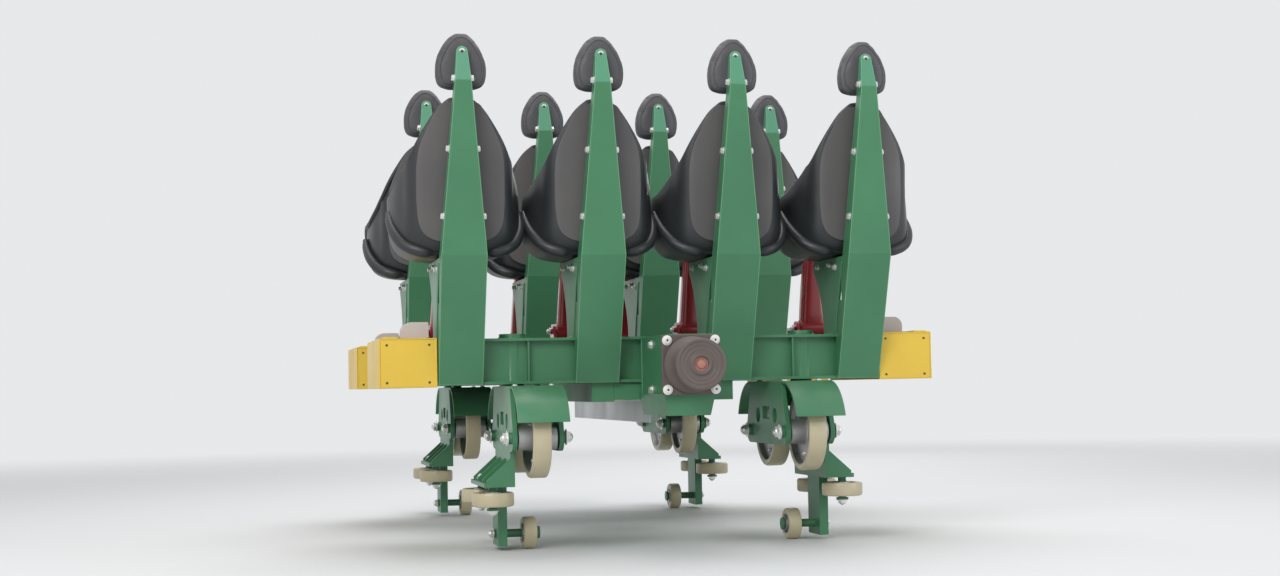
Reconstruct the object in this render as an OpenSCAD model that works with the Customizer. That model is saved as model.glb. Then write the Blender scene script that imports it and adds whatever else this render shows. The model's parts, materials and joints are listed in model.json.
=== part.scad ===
// Roller coaster car: two rows of four seats on a frame with two axles
// +X is right, +Y is the way the car runs and +Z is up, all in millimetres
// Heights are above the lowest point of the upstop wheels

/* [Layout] */
// Distance between the centres of two neighbouring seats
seat_pitch = 600; // [590:5:620]
// Distance from the first row's crossbeam to the second row's
row_pitch = 1540; // [1480:10:1600]
// Distance between the kingpins of the two axles
axle_pitch = 2350; // [2300:10:2400]
// Distance between the two kingpins of one axle
kingpin_track = 1320; // [1290:5:1340]
// Distance between the centre lines of the two rails
gauge = 1200; // [1180:5:1220]
// How far a row's crossbeam reaches past the centres of its outer seats
row_margin = 100; // [100:2:112]

/* [Crossbeams] */
// Height of a crossbeam
beam_h = 200; // [180:5:220]
// Depth of a crossbeam along the car, flanges included
beam_d = 200; // [190:5:220]
// Thickness of a crossbeam's flanges
flange_t = 12; // [8:1:16]
// Depth of the web panels behind the flanges' edges
web_inset = 34; // [20:2:45]
// Half length of the front axle's beam
axle_beam_half = 800; // [780:5:830]
// Outer radius of a kingpin boss
boss_r = 58; // [50:1:60]
// Height of a kingpin boss above its beam
boss_rise = 20; // [10:1:30]
// Radius of a kingpin
kingpin_r = 30; // [25:1:34]
// Radius of the nut under a kingpin
kingnut_r = 44; // [40:1:48]

/* [Centre frame] */
// Width of each long box rail
rail_box_w = 100; // [80:5:110]
// Height of each long box rail
rail_box_h = 85; // [70:5:100]
// Distance from the centre line to each long rail's centre
rail_box_x = 270; // [250:5:280]
// How far the long rails' ends lie inside the outer faces of the axle beams
rail_inset = 30; // [20:2:40]
// Number of cross ties between the long rails
ties = 6; // [5:1:7]
// Width of a cross tie along the car
tie_w = 90; // [60:5:110]
// Thickness of the brake fin
fin_t = 12; // [8:1:16]
// Depth of the brake fin
fin_h = 110; // [90:5:130]
// How far the brake fin runs past the cross ties that carry its ends
fin_over = 200; // [150:10:240]

/* [Floors] */
// Distance from a row's crossbeam face to the front edge of its floor
floor_front = 800; // [770:5:820]
// Thickness of the floor plate
floor_t = 10; // [6:1:14]
// Depth of the folded edge at the front of a floor
floor_fold = 55; // [40:5:70]
// Distance from a row's crossbeam face to its lap bar beam
lap_beam_y = 610; // [590:5:620]
// Width of a lap bar beam along the car
lap_beam_w = 120; // [100:5:130]

/* [Side boxes] */
// Width of a side box
box_w = 250; // [230:5:270]
// Length of a side box along the car
box_l = 730; // [725:5:760]
// Height of the side boxes above their beam
box_rise = 5; // [2:1:8]
// Thickness of a side box's folded rim
box_rim = 6; // [4:1:10]
// Width of the block on top of each side box
pad_w = 116; // [100:2:130]
// Height of the block on top of each side box
pad_h = 72; // [60:2:80]
// Length of the block along the car
pad_l = 115; // [100:5:140]
// Distance from a side box's rear end to its block
pad_y = 85; // [70:5:120]
// Distance from a side box's inner edge to its block
pad_in = 28; // [20:2:36]

/* [Seat posts] */
// Half width of a post at its foot
post_foot = 96; // [88:1:97]
// Half width of a post at its lower bend
post_waist = 98; // [90:1:98]
// Half width of a post at its upper bend
post_neck = 35; // [30:1:40]
// Half width of a post at its tip
post_tip = 24; // [20:1:28]
// Height of the lower bend above the foot
bend_up = 549; // [530:5:570]
// Height of the upper bend above the foot
knee_up = 1289; // [1270:5:1300]
// Height of the tip's bolt hole above the upper bend
tip_rise = 126; // [116:2:136]
// How far the lower bend lies behind the foot
bend_back = 200; // [190:5:210]
// How far the upper bend lies behind the foot
knee_back = 243; // [235:2:250]
// How far the tip lies behind the foot
tip_back = 205; // [200:2:215]
// Plate thickness of a post
post_t = 8; // [6:1:10]
// Depth of a post's side flanges at the lower bend
post_depth = 90; // [80:2:100]

/* [Seats] */
// Height of the seat's underside above the floor
seat_rise = 345; // [330:5:360]
// Half width of a bucket at its widest
bucket_half = 270; // [260:2:275]
// Wall thickness of a bucket
bucket_wall = 24; // [18:1:28]
// How far the bucket's front lip lies before the crossbeam's face
bucket_front = 440; // [420:5:450]
// Radius of the curved back
back_r = 450; // [430:5:470]
// Thickness of the back's outer shell
shell_t = 18; // [12:1:22]
// Half width of the outer shell at its widest
shell_half = 199; // [190:1:204]
// How far the outer shell's top lies below the bucket's
shell_drop = 31; // [20:1:36]
// How far the outer shell's lower edge lies above the posts' lower bend
shell_foot = 43; // [36:1:50]
// Lean of the seat backs, in degrees
back_lean = 3.3; // [3:0.1:3.6]
// Thickness of the seat bracket plates
bracket_t = 10; // [8:1:12]
// How far the seat brackets reach before the crossbeam's rear face
bracket_front = 330; // [310:5:350]
// Width of a headrest
headrest_w = 226; // [200:2:230]
// Height of a headrest
headrest_h = 238; // [226:2:250]
// Thickness of a headrest
headrest_t = 88; // [70:2:96]
// How far a headrest reaches below the posts' upper bend
headrest_drop = 20; // [12:1:26]

/* [Lap bars] */
// Distance from a row's crossbeam face to its lap bar pivots
lap_y = 690; // [680:5:700]
// Height of the lap bar pivots above the floor
lap_rise = 48; // [46:1:54]
// Radius of a lap bar's hub
lap_hub_r = 40; // [36:1:41]
// Radius of a lap bar's pivot pin
lap_pin_r = 14; // [12:1:16]
// Half width of a lap bar's arm at its foot
arm_foot = 65; // [60:1:66]
// Half width of a lap bar's arm at its top
arm_top = 30; // [26:1:34]
// Height of the pad's centre above the lap bar's pivot
arm_h = 535; // [525:5:545]
// How far the pad's centre lies behind the lap bar's pivot
arm_reach = 265; // [255:5:275]
// Half length of the pad across the thighs
pad_half = 225; // [210:5:230]
// Radius of the pad across the thighs
pad_r = 46; // [40:1:50]
// Radius of the two grips
grip_r = 14; // [12:1:16]

/* [Wheels] */
// Diameter of the rail that the wheels run on
rail_d = 180; // [175:1:190]
// Radius of a road wheel
road_r = 170; // [165:1:174]
// Width of a road wheel's tread
road_w = 80; // [70:2:90]
// Distance between the two road wheels of a carrier
road_pitch = 540; // [520:5:560]
// Radius of a guide wheel
guide_r = 90; // [85:1:92]
// Distance between the two guide wheels of a carrier
guide_pitch = 380; // [376:2:400]
// Width of a guide wheel's tread
guide_w = 60; // [50:2:64]
// Radius of an upstop wheel
upstop_r = 70; // [66:1:74]
// Width of an upstop wheel's tread
upstop_w = 60; // [50:2:64]
// Radius of a road wheel's axle
road_axle_r = 25; // [20:1:28]
// Radius of the axles of guide and upstop wheels
small_axle_r = 18; // [14:1:20]
// Thickness of the tyres
tyre_t = 22; // [16:1:26]

/* [Wheel carriers] */
// Outer width of a carrier and its guard
carrier_w = 220; // [210:2:230]
// Outer radius of the guards round the road wheels
guard_r = 222; // [216:1:228]
// Plate thickness of the guards
guard_t = 10; // [8:1:12]
// Thickness of a carrier's cheek plates
cheek_t = 20; // [16:1:24]
// Angle at which a guard ends, above level, in degrees
guard_end = 18; // [10:1:30]
// Thickness of the leg outside the rail
leg_t = 40; // [30:1:46]
// Half width of the leg along the car
leg_half = 86; // [76:1:88]
// Gap between the rail and the leg
leg_gap = 16; // [14:1:20]

/* [Couplings] */
// Distance from the crossbeam's face to the buffer plate
stub_l = 500; // [480:5:520]
// Half width of the coupling stub
stub_half = 95; // [85:1:100]
// Height of the coupling stub
stub_h = 250; // [240:2:260]
// Side of the square buffer plate
plate_side = 250; // [240:2:260]
// Thickness of the buffer plate
plate_t = 15; // [12:1:20]
// Radius of the buffer's base
buffer_r = 120; // [112:1:122]
// Length of the buffer
buffer_l = 185; // [170:5:200]
// Distance from the rear axle's beam to the drawbar's eye
eye_y = 3500; // [3460:10:3540]
// Outer radius of the drawbar's eye
eye_r = 56; // [50:1:60]
// Radius of the bore in the drawbar's eye
eye_bore_r = 30; // [25:1:32]
// Width of the drawbar
drawbar_w = 80; // [70:2:90]
// Height of the drawbar
drawbar_h = 60; // [54:2:66]
// Height of the coupling line above the beams' underside
coupling_up = 66; // [60:2:72]
// Distance from the front axle's beam to the pin that the drawbar swings on
hitch_out = 100; // [90:5:110]
// Radius of the pin that the drawbar swings on
hitch_pin_r = 24; // [20:1:28]
// Thickness of the two plates that hold that pin
clevis_t = 24; // [18:1:28]

/* [Hidden] */
$fn = 48;
// Clearance between parts that touch without being joined
fit = 0.3;
// Radial clearance of a shaft in its bore
run = 0.05;
// Clearance that a moving part keeps
clear = 5;
// Space between a carrier and the beam above it
carrier_gap = 8;

// Heights, from the rail upwards
rail_z = 2 * upstop_r + rail_d / 2;
road_z = 2 * upstop_r + rail_d + road_r;
carrier_top = road_z + guard_r;
beam_z = carrier_top + carrier_gap;
beam_top = beam_z + beam_h;
coupling_z = beam_z + coupling_up;
bend_z = beam_z + bend_up;
knee_z = beam_z + knee_up;
tip_z = knee_z + tip_rise;
seat_z = beam_top + seat_rise;
pivot_z = beam_top + lap_rise;

// Places along the car, from the rear face of the rear crossbeam
axle_y = [beam_d / 2, beam_d / 2 + axle_pitch];
row_y = [0, row_pitch];
rail_front = axle_y[1] + beam_d / 2 - rail_inset;
plate_y = -stub_l - plate_t;
front_y = eye_y + eye_r;
back_y = plate_y - buffer_l;
mid_y = (front_y + back_y) / 2;

seat_x = [for (i = [0:3]) (i - 1.5) * seat_pitch];
row_half = seat_x[3] + row_margin;
kingpin_x = kingpin_track / 2;
wheel_x = gauge / 2;
web_y = post_t + 4 + web_inset;

// Places of the cross ties, evenly spread from one end of the long rails to the other
tie_y = [for (i = [0:ties - 1]) rail_inset + i * (rail_front - rail_inset - tie_w) / (ties - 1)];

// Carriers: name, side, axle
CARRIERS = [
    ["rear_left", -1, 0], ["rear_right", 1, 0],
    ["front_left", -1, 1], ["front_right", 1, 1]
];
// Wheels of one carrier: name, kind, place along the car from the kingpin
WHEELS = [
    ["road_wheel_a", "road", -road_pitch / 2], ["road_wheel_b", "road", road_pitch / 2],
    ["guide_wheel_a", "guide", -guide_pitch / 2], ["guide_wheel_b", "guide", guide_pitch / 2],
    ["upstop_wheel", "upstop", 0]
];
ROWS = ["rear", "front"];

// Distance from a post's front edges at its top to the crossbeam face
post_front = 180;
// Depth of a post's side flanges where they stand on the crossbeam
flange_foot = 20;
// How far the seat back's cylinder runs past both bends of the posts
back_over = 200;

green = "seagreen";
yellow = "gold";

// Moves the car so that its middle lies on the origin
module car() translate([0, -mid_y, 0]) children();

// Extrudes a side outline, drawn as [y, z], across the car about x = 0
module across(w) rotate([90, 0, 90]) translate([0, 0, -w / 2]) linear_extrude(w) children();

// Extrudes a rear outline, drawn as [x, z], from y0 to y1
module along(y0, y1) translate([0, y1, 0]) rotate([90, 0, 0]) linear_extrude(y1 - y0) children();

// A bar along X between two points of the same y and z
module rod(r, x0, x1) translate([x0, 0, 0]) rotate([0, 90, 0]) cylinder(r = r, h = x1 - x0);

// Normal angle of the belt's run from one disc [x, y, r] to the next, anticlockwise
function run_angle(a, b) =
    let (d = [b.x - a.x, b.y - a.y])
    atan2(d.y, d.x) - 90 - asin((b[2] - a[2]) / norm(d));
// Smallest turn from angle a to b, anticlockwise
function turn(a, b) = let (t = (b - a) % 360) t < 0 ? t + 360 : t;
// Outline of a belt round discs [x, y, r], listed anticlockwise
function belt(discs, step = 15) =
    let (n = len(discs))
    [for (i = [0:n - 1])
        let (d = discs[i],
             a0 = run_angle(discs[(i + n - 1) % n], d),
             a1 = run_angle(d, discs[(i + 1) % n]),
             sweep = turn(a0, a1),
             k = max(1, ceil(sweep / step)))
        for (j = [0:k]) [d.x + d[2] * cos(a0 + sweep * j / k), d.y + d[2] * sin(a0 + sweep * j / k)]];

// Crossbeam between two flanges, its rear flange edge at y
module beam(y, half) translate([0, y, 0]) {
    lip = post_t + 4;
    for (z = [beam_z, beam_top - flange_t])
        translate([-half, lip, z]) cube([2 * half, beam_d - lip, flange_t]);
    translate([-half, web_y, beam_z]) cube([2 * half, beam_d - web_y - web_inset, beam_h]);
    for (x = [-wheel_x, wheel_x])
        translate([x - 4, lip + 6, beam_z]) cube([8, beam_d - lip - 12, beam_h]);
}

// Kingpin with its boss through the beam and the nut that holds the carrier
module kingpin(side, y) translate([side * kingpin_x, y, 0]) {
    translate([0, 0, beam_z]) cylinder(r = boss_r, h = beam_h + boss_rise);
    translate([0, 0, block_z - 30]) cylinder(r = kingpin_r, h = beam_z - block_z + 40);
    translate([0, 0, block_z - 24]) cylinder(r = kingnut_r, h = 21);
}

module rear_crossbeam() color(green) car() {
    beam(0, row_half);
    for (s = [-1, 1]) kingpin(s, axle_y[0]);
}
module middle_crossbeam() color(green) car() beam(row_y[1], row_half);
module front_axle_beam() color(green) car() {
    beam(axle_y[1] - beam_d / 2, axle_beam_half);
    for (s = [-1, 1]) kingpin(s, axle_y[1]);
}

module long_rails() color(green) car()
    for (s = [-1, 1])
        translate([s * rail_box_x - rail_box_w / 2, rail_inset, beam_z - rail_box_h])
            cube([rail_box_w, rail_front - rail_inset, rail_box_h]);

module cross_ties() color(green) car()
    for (y = tie_y)
        translate([-rail_box_x + rail_box_w / 2, y, beam_z - rail_box_h + 8])
            cube([2 * rail_box_x - rail_box_w, tie_w, rail_box_h - 16]);

module brake_fin() color("silver") car() {
    top = beam_z - rail_box_h + 8;
    y0 = tie_y[1] - fin_over;
    y1 = tie_y[ties - 2] + tie_w + fin_over;
    along(y0, y1) polygon([[-40, top], [-40, top - 8], [-fin_t / 2, top - 8], [-fin_t / 2, top - fin_h],
        [fin_t / 2, top - fin_h], [fin_t / 2, top - 8], [40, top - 8], [40, top]]);
}

module lap_beams() color(green) car()
    for (y = row_y)
        translate([-row_half, y + lap_beam_y, beam_z])
            cube([2 * row_half, lap_beam_w, beam_h - floor_t]);

module floor_pans() color("dimgray") car()
    for (y = row_y) translate([0, y, 0]) {
        translate([-row_half, beam_d, beam_top - floor_t])
            cube([2 * row_half, floor_front - beam_d, floor_t]);
        translate([-row_half, floor_front - floor_t, beam_top - floor_fold])
            cube([2 * row_half, floor_t, floor_fold]);
        for (i = [-4:4])
            translate([i * 220 - 4, beam_d, beam_top - floor_fold])
                cube([8, lap_beam_y - beam_d, floor_fold]);
    }

// Folded sheet box at each end of a row, with a raised tab on its outer edge
module side_boxes() color(yellow) car()
    for (y = row_y, s = [-1, 1]) translate([s * (row_half + box_w / 2), y, 0]) {
        translate([-box_w / 2, box_rim, beam_z - 8])
            cube([box_w, box_l - box_rim, beam_h + 8 + box_rise]);
        difference() {
            translate([-box_w / 2, 0, beam_z - 8]) cube([box_w, box_rim, beam_h + 8 + box_rise]);
            translate([-box_w / 2 + box_rim, -1, beam_z - 8 + box_rim])
                cube([box_w - 2 * box_rim, box_rim + 1 - 3, beam_h + 8 + box_rise - 2 * box_rim]);
        }
        translate([s > 0 ? box_w / 2 - 80 : -box_w / 2 + 20, 2, beam_top + box_rise])
            cube([60, box_l - 4, 6]);
    }

module box_pads() color("lightgray") car()
    for (y = row_y, s = [-1, 1]) translate([s * (row_half + pad_in + pad_w / 2), y, 0])
        translate([0, 0, beam_top + box_rise]) mirror([s < 0 ? 1 : 0, 0, 0])
            along(pad_y, pad_y + pad_l) polygon(belt([
                [pad_w / 2 - 40, pad_h - 40, 40], [-pad_w / 2 + 8, pad_h - 8, 8],
                [-pad_w / 2 + 2, 2, 2], [pad_w / 2 - 2, 2, 2]]));

// Side outline of a post, with its rear face moved forward by inset
module post_side(inset) polygon([
    [inset, beam_z], [inset - bend_back, bend_z], [inset - knee_back, knee_z],
    [inset - tip_back, tip_z + post_tip],
    [-post_front, tip_z + post_tip], [-post_front, knee_z - headrest_drop - clear],
    [post_depth - bend_back, bend_z], [flange_foot, beam_top], [post_t + 4, beam_top], [post_t + 4, beam_z]]);
// Rear outline of a post, drawn in by inset on both sides
module post_rear(inset) polygon(concat(
    [[inset - post_foot, beam_z - 1], [post_foot - inset, beam_z - 1],
     [post_waist - inset, bend_z], [post_neck - inset, knee_z]],
    [for (a = [0:15:180]) [(post_tip - inset) * cos(a), tip_z + (post_tip - inset) * sin(a)]],
    [[inset - post_neck, knee_z], [inset - post_waist, bend_z]]));
module post() difference() {
    intersection() {
        across(2 * post_waist) post_side(0);
        along(-400, 100) post_rear(0);
    }
    intersection() {
        across(2 * post_waist) polygon([
            [post_t, beam_top], [post_t - bend_back, bend_z], [post_t - knee_back, knee_z],
            [400, knee_z], [400, beam_top]]);
        along(-400, 400) post_rear(post_t);
    }
    back_cylinder(back_r + fit, 0);
    translate([0, -post_front + 1, tip_z]) rotate([90, 0, 0]) cylinder(r = 7, h = 60);
}
module posts(y) color(green) car()
    for (x = seat_x) translate([x, y, 0]) post();

// The seat back's cylinder: it leans with the post and its rear meets the post's flanges
module back_cylinder(r, grow) translate([0, post_depth - bend_back + 12, bend_z])
    rotate([back_lean, 0, 0]) translate([0, back_r, -back_over - grow])
        cylinder(r = r, h = knee_z - bend_z + 2 * (back_over + grow), $fn = 96);

// Top edges of a bucket, just below its headrest, and of its outer shell
bucket_top = knee_z - headrest_drop - clear - 1;
shell_top = bucket_top - shell_drop;

// Rear outline of the seat's outer shell, from its top down: a narrow top, a full waist and a round foot
shell_left = [
    [-35, shell_top - 32, 32], [-55, shell_top - 162, 82], [154 - shell_half, shell_top - 282, 137],
    [140 - shell_half, bend_z + shell_foot + 208, 140], [94 - shell_half, bend_z + shell_foot + 93, 93]];
shell_discs = concat(shell_left, [for (i = [4:-1:0]) [-shell_left[i].x, shell_left[i].y, shell_left[i][2]]]);
module seat_shells(y) color([0.30, 0.29, 0.30]) car()
    for (x = seat_x) translate([x, y, 0]) intersection() {
        along(-300, 150) polygon(belt(shell_discs));
        difference() {
            back_cylinder(back_r, 0);
            back_cylinder(back_r - shell_t, 10);
        }
    }

// Rear outline of a bucket, drawn in by inset
function bucket_discs(inset) = [
    [-40, bucket_top - 40, 40 - inset], [-bucket_half + 120, seat_z + 300, 120 - inset],
    [-bucket_half + 120, seat_z + 215, 120 - inset], [-bucket_half + 165, seat_z + 105, 105 - inset],
    [bucket_half - 165, seat_z + 105, 105 - inset], [bucket_half - 120, seat_z + 215, 120 - inset],
    [bucket_half - 120, seat_z + 300, 120 - inset], [40, bucket_top - 40, 40 - inset]];
// Side outline of a bucket: pan, front lip and armrests, then the wings that run up to its top
bucket_side = [
    [bucket_front - 40, seat_z + 40, 40], [bucket_front - 36, seat_z + 65, 36],
    [bucket_front - 240, seat_z + 215, 60], [110, seat_z + 275, 60]];
module bucket_outline() {
    polygon(belt([[-100, seat_z + 60, 60], bucket_side[0], bucket_side[1], bucket_side[2],
        bucket_side[3], [-140, seat_z + 275, 60]]));
    polygon(belt([[-140, seat_z + 200, 40], [60, seat_z + 200, 40], [60, seat_z + 315, 40],
        [-120, bucket_top - 20, 20], [-140, bucket_top - 20, 20]]));
}
module bucket() difference() {
    intersection() {
        across(2 * bucket_half) bucket_outline();
        along(-300, bucket_front) polygon(belt(bucket_discs(0)));
        union() {
            back_cylinder(back_r - shell_t - fit, 0);
            translate([-bucket_half, 60, seat_z - 1]) cube([2 * bucket_half, bucket_front, 700]);
        }
    }
    intersection() {
        along(-300, bucket_front + 1) polygon(belt(bucket_discs(bucket_wall)));
        union() {
            back_cylinder(back_r - shell_t - bucket_wall, 10);
            translate([-bucket_half, 80, seat_z - 1]) cube([2 * bucket_half, bucket_front, 700]);
        }
    }
}
module buckets(y) color([0.09, 0.09, 0.10]) car()
    for (x = seat_x) translate([x, y, 0]) bucket();

// Underside of the headrests
headrest_z = knee_z - headrest_drop;
module headrests(y) color([0.26, 0.26, 0.28]) car()
    for (x = seat_x) translate([x, y, 0])
        along(-post_front, headrest_t - post_front) polygon(belt([
            [0, headrest_z + headrest_h - 56, 56], [52 - headrest_w / 2, headrest_z + 82, 52],
            [45 - headrest_w / 2, headrest_z + 42, 42], [headrest_w / 2 - 45, headrest_z + 42, 42],
            [headrest_w / 2 - 52, headrest_z + 82, 52]]));

// Pair of plates before each post's flanges, with a top plate under the bucket
module seat_brackets() color(green) car()
    for (y = row_y, x = seat_x) translate([x, y, 0]) {
        in = post_waist - bracket_t;
        rise = seat_z - beam_top - 50;
        reach = bracket_front - (beam_d - 10);
        bow = 2 * atan(reach / rise);
        arc_r = rise / sin(bow);
        // Where the front edge of the post's flanges passes the bucket's underside
        y_top = flange_foot - (flange_foot + bend_back - post_depth) * (seat_z - beam_top) / (bend_z - beam_top);
        for (s = [-1, 1]) translate([s * (in + bracket_t / 2), 0, 0]) across(bracket_t) polygon(concat(
            [[flange_foot + fit, beam_top]],
            [for (k = [0:8]) let (a = bow * k / 8)
                [beam_d - 10 + arc_r * (1 - cos(a)), beam_top + arc_r * sin(a)]],
            [[bracket_front, seat_z], [y_top + fit, seat_z]]));
        translate([-in, y_top + 8, seat_z - bracket_t]) cube([2 * in, bracket_front - y_top - 16, bracket_t]);
    }

// Ears and pin that carry each lap bar
module lap_pivots() color("firebrick") car()
    for (y = row_y, x = seat_x) translate([x, y + lap_y, 0]) {
        for (s = [-1, 1]) translate([s * (arm_foot + clear + 7), 0, 0]) across(14) polygon(belt([
            [0, pivot_z, 34], [-56, beam_top + 4, 4], [56, beam_top + 4, 4]]));
        translate([0, 0, pivot_z]) rod(lap_pin_r, -arm_foot - clear - 24, arm_foot + clear + 24);
    }

// Lap bar: hub, tapered arm, pad across the thighs and two grips
// Discs of the arm's side outline from the hub to the pad: y, z, r
arm_discs = [
    [0, 0, lap_hub_r], [-0.03 * arm_reach, 0.43 * arm_h, 38], [-0.26 * arm_reach, 0.80 * arm_h, 32],
    [-0.66 * arm_reach, 0.97 * arm_h, 28], [-arm_reach, arm_h, 24]];
module lap_bar(x, y) color("firebrick") car() translate([x, y + lap_y, pivot_z]) {
    difference() {
        intersection() {
            union() for (i = [0:len(arm_discs) - 2])
                across(2 * arm_foot) polygon(belt([arm_discs[i + 1], arm_discs[i]]));
            along(-400, 100) polygon([
                [-arm_foot, -lap_hub_r - 1], [arm_foot, -lap_hub_r - 1], [arm_foot, 20],
                [arm_top + 8, 0.62 * arm_h], [arm_top, arm_h + 60],
                [-arm_top, arm_h + 60], [-arm_top - 8, 0.62 * arm_h], [-arm_foot, 20]]);
        }
        rod(lap_pin_r + run, -arm_foot - 1, arm_foot + 1);
    }
    translate([0, -arm_reach, arm_h]) rotate([0, 90, 0]) rotate_extrude() polygon(concat(
        [[0, -pad_half]],
        [for (a = [-75:15:0]) [pad_r + 14 * (cos(a) - 1), -pad_half + 14 + 14 * sin(a)]],
        [for (a = [0:15:75]) [pad_r + 14 * (cos(a) - 1), pad_half - 14 + 14 * sin(a)]],
        [[0, pad_half]]));
    for (s = [-1, 1]) translate([s * 120, 15 - arm_reach, arm_h]) rotate([-18, 0, 0]) {
        cylinder(r = grip_r, h = 160);
        translate([0, 0, 160]) sphere(r = grip_r);
    }
}

// Underside of a carrier's kingpin block
block_z = carrier_top - 112;
// Height of the plate that carries the guide wheels
shelf_z = rail_z + guide_w / 2 + 22;
leg_x = wheel_x + rail_d / 2 + leg_gap;
cheek_out = carrier_w / 2;

// Wheel carrier: guards, cheek plates, kingpin block, shelf, leg and axles
module carrier(side, axle) color(green) car()
    translate([0, axle_y[axle], 0]) mirror([side < 0 ? 1 : 0, 0, 0]) difference() {
        union() {
            carrier_cover();
            for (s = [-1, 1]) translate([wheel_x + s * (cheek_out - cheek_t / 2), 0, 0])
                across(cheek_t) cheek_side();
            translate([wheel_x - cheek_out + 1, -82, block_z])
                cube([carrier_w - 2, 164, carrier_top - block_z]);
            translate([kingpin_x, 0, carrier_top - 1]) cylinder(r = 48, h = carrier_gap + 1 - fit);
            carrier_arm();
            for (y = [-1, 1]) translate([0, y * road_pitch / 2, road_z])
                rod(road_axle_r, wheel_x - cheek_out - 14, wheel_x + cheek_out + 14);
        }
        translate([kingpin_x, 0, block_z - 1]) cylinder(r = kingpin_r + run, h = beam_z - block_z + 2);
    }

// Curved guard over both road wheels
module carrier_cover() translate([wheel_x, 0, 0]) {
    half = road_pitch / 2;
    across(carrier_w) difference() {
        union() {
            for (y = [-half, half]) translate([y, road_z]) circle(r = guard_r, $fn = 96);
            translate([-half, road_z]) square([2 * half, guard_r]);
        }
        for (y = [-half, half]) translate([y, road_z]) circle(r = guard_r - guard_t, $fn = 96);
        translate([-half, road_z - guard_r]) square([2 * half, 2 * guard_r - guard_t]);
        translate([-half - guard_r - 1, road_z - guard_r - 1])
            square([2 * (half + guard_r) + 2, guard_r + 1 + guard_r * sin(guard_end)]);
    }
}

// Side outline of a cheek plate between the two road axles
module cheek_side() difference() {
    polygon(belt([
        [-road_pitch / 2, road_z, 58], [road_pitch / 2, road_z, 58],
        [road_pitch / 2 - 30, carrier_top - 9, 8], [-road_pitch / 2 + 30, carrier_top - 9, 8]]));
    for (y = [-road_pitch / 4, road_pitch / 4]) translate([y - 5, road_z + 70]) circle(r = 34);
    // Window that frees the kingpin's nut, on which the carrier turns
    translate([-kingnut_r - 8, block_z - 56]) square([2 * kingnut_r + 16, 56]);
}

// Apron, shelf and leg outside the rail, with the upright and inward axles
module carrier_arm() {
    apron = wheel_x + cheek_out - cheek_t;
    shelf_half = guide_pitch / 2 + 44;
    guide_x = wheel_x + rail_d / 2 + guide_r;
    translate([apron, -shelf_half, shelf_z]) cube([cheek_t, 2 * shelf_half, road_z - shelf_z]);
    translate([apron, -shelf_half, shelf_z])
        cube([guide_x + 42 - apron, 2 * shelf_half, 18]);
    for (y = [-shelf_half, -leg_half - 1, leg_half - 11, shelf_half - 12])
        translate([0, y + 12, 0]) rotate([90, 0, 0]) linear_extrude(12)
            polygon([[apron + 5, shelf_z + 5], [guide_x + 30, shelf_z + 5],
                [guide_x + 30, shelf_z + 30], [apron + cheek_t, shelf_z + 120], [apron + 5, shelf_z + 120]]);
    translate([leg_x, -leg_half, 20]) cube([leg_t, 2 * leg_half, shelf_z - 10]);
    for (y = [-1, 1]) translate([guide_x, y * guide_pitch / 2, 0]) {
        translate([0, 0, rail_z - guide_w / 2 - 18]) cylinder(r = small_axle_r, h = shelf_z - rail_z + guide_w / 2 + 40);
        translate([0, 0, rail_z - guide_w / 2 - 18]) cylinder(r = small_axle_r + 9, h = 10);
    }
    translate([0, 0, upstop_r]) {
        rod(small_axle_r, wheel_x - upstop_w / 2 - 18, leg_x + leg_t + 8);
        rod(small_axle_r + 9, wheel_x - upstop_w / 2 - 18, wheel_x - upstop_w / 2 - 8);
    }
}

// A wheel about the Z axis: tyre, dished web and hub on a bore
module wheel(r, w, bore, hub, reach) rotate_extrude($fn = 96) polygon([
    [bore + run, -reach], [hub, -reach], [hub + 2, -w / 6], [r - tyre_t - 10, -w / 6],
    [r - tyre_t - 6, -w / 2 + 4], [r - 5, -w / 2 + 4], [r, -w / 2 + 9],
    [r, w / 2 - 9], [r - 5, w / 2 - 4], [r - tyre_t - 6, w / 2 - 4],
    [r - tyre_t - 10, w / 6], [hub + 2, w / 6], [hub, reach], [bore + run, reach]]);

module wheel_of(side, axle, kind, y) color([0.75, 0.72, 0.6]) car()
    translate([0, axle_y[axle] + y, 0]) mirror([side < 0 ? 1 : 0, 0, 0]) {
        if (kind == "road") translate([wheel_x, 0, road_z]) rotate([0, 90, 0])
            wheel(road_r, road_w + 8, road_axle_r, 52, carrier_w / 2 - cheek_t - clear);
        if (kind == "guide") translate([wheel_x + rail_d / 2 + guide_r, 0, rail_z])
            wheel(guide_r, guide_w + 8, small_axle_r, 34, guide_w / 2 + 3);
        if (kind == "upstop") translate([wheel_x, 0, upstop_r]) rotate([0, 90, 0])
            wheel(upstop_r, upstop_w + 8, small_axle_r, 30, upstop_w / 2 + 3);
    }

// Box stub behind the crossbeam with a tapered gusset below
module coupling_stub() color(green) car() {
    low = coupling_z + 4 - stub_h / 2;
    translate([-stub_half, -stub_l, low]) cube([2 * stub_half, stub_l + post_t + 4, stub_h]);
    along(-stub_l + 20, 30) polygon([
        [-88, low - 90], [88, low - 90], [110, low + 1], [-110, low + 1]]);
}
module buffer_plate() color([0.42, 0.36, 0.34]) car()
    translate([-plate_side / 2, plate_y, coupling_z - plate_side / 2]) cube([plate_side, plate_t, plate_side]);
module buffer() color([0.45, 0.36, 0.34]) car()
    translate([0, plate_y, coupling_z]) rotate([90, 0, 0]) rotate_extrude($fn = 96) polygon([
        [0, 0], [buffer_r, 0], [buffer_r, 26], [buffer_r - 14, 34], [buffer_r - 10, 70],
        [buffer_r - 18, 82], [buffer_r - 10, 94], [buffer_r - 12, buffer_l - 30],
        [buffer_r - 22, buffer_l - 8], [buffer_r - 40, buffer_l], [26, buffer_l], [22, buffer_l - 12],
        [0, buffer_l - 12]]);

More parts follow.
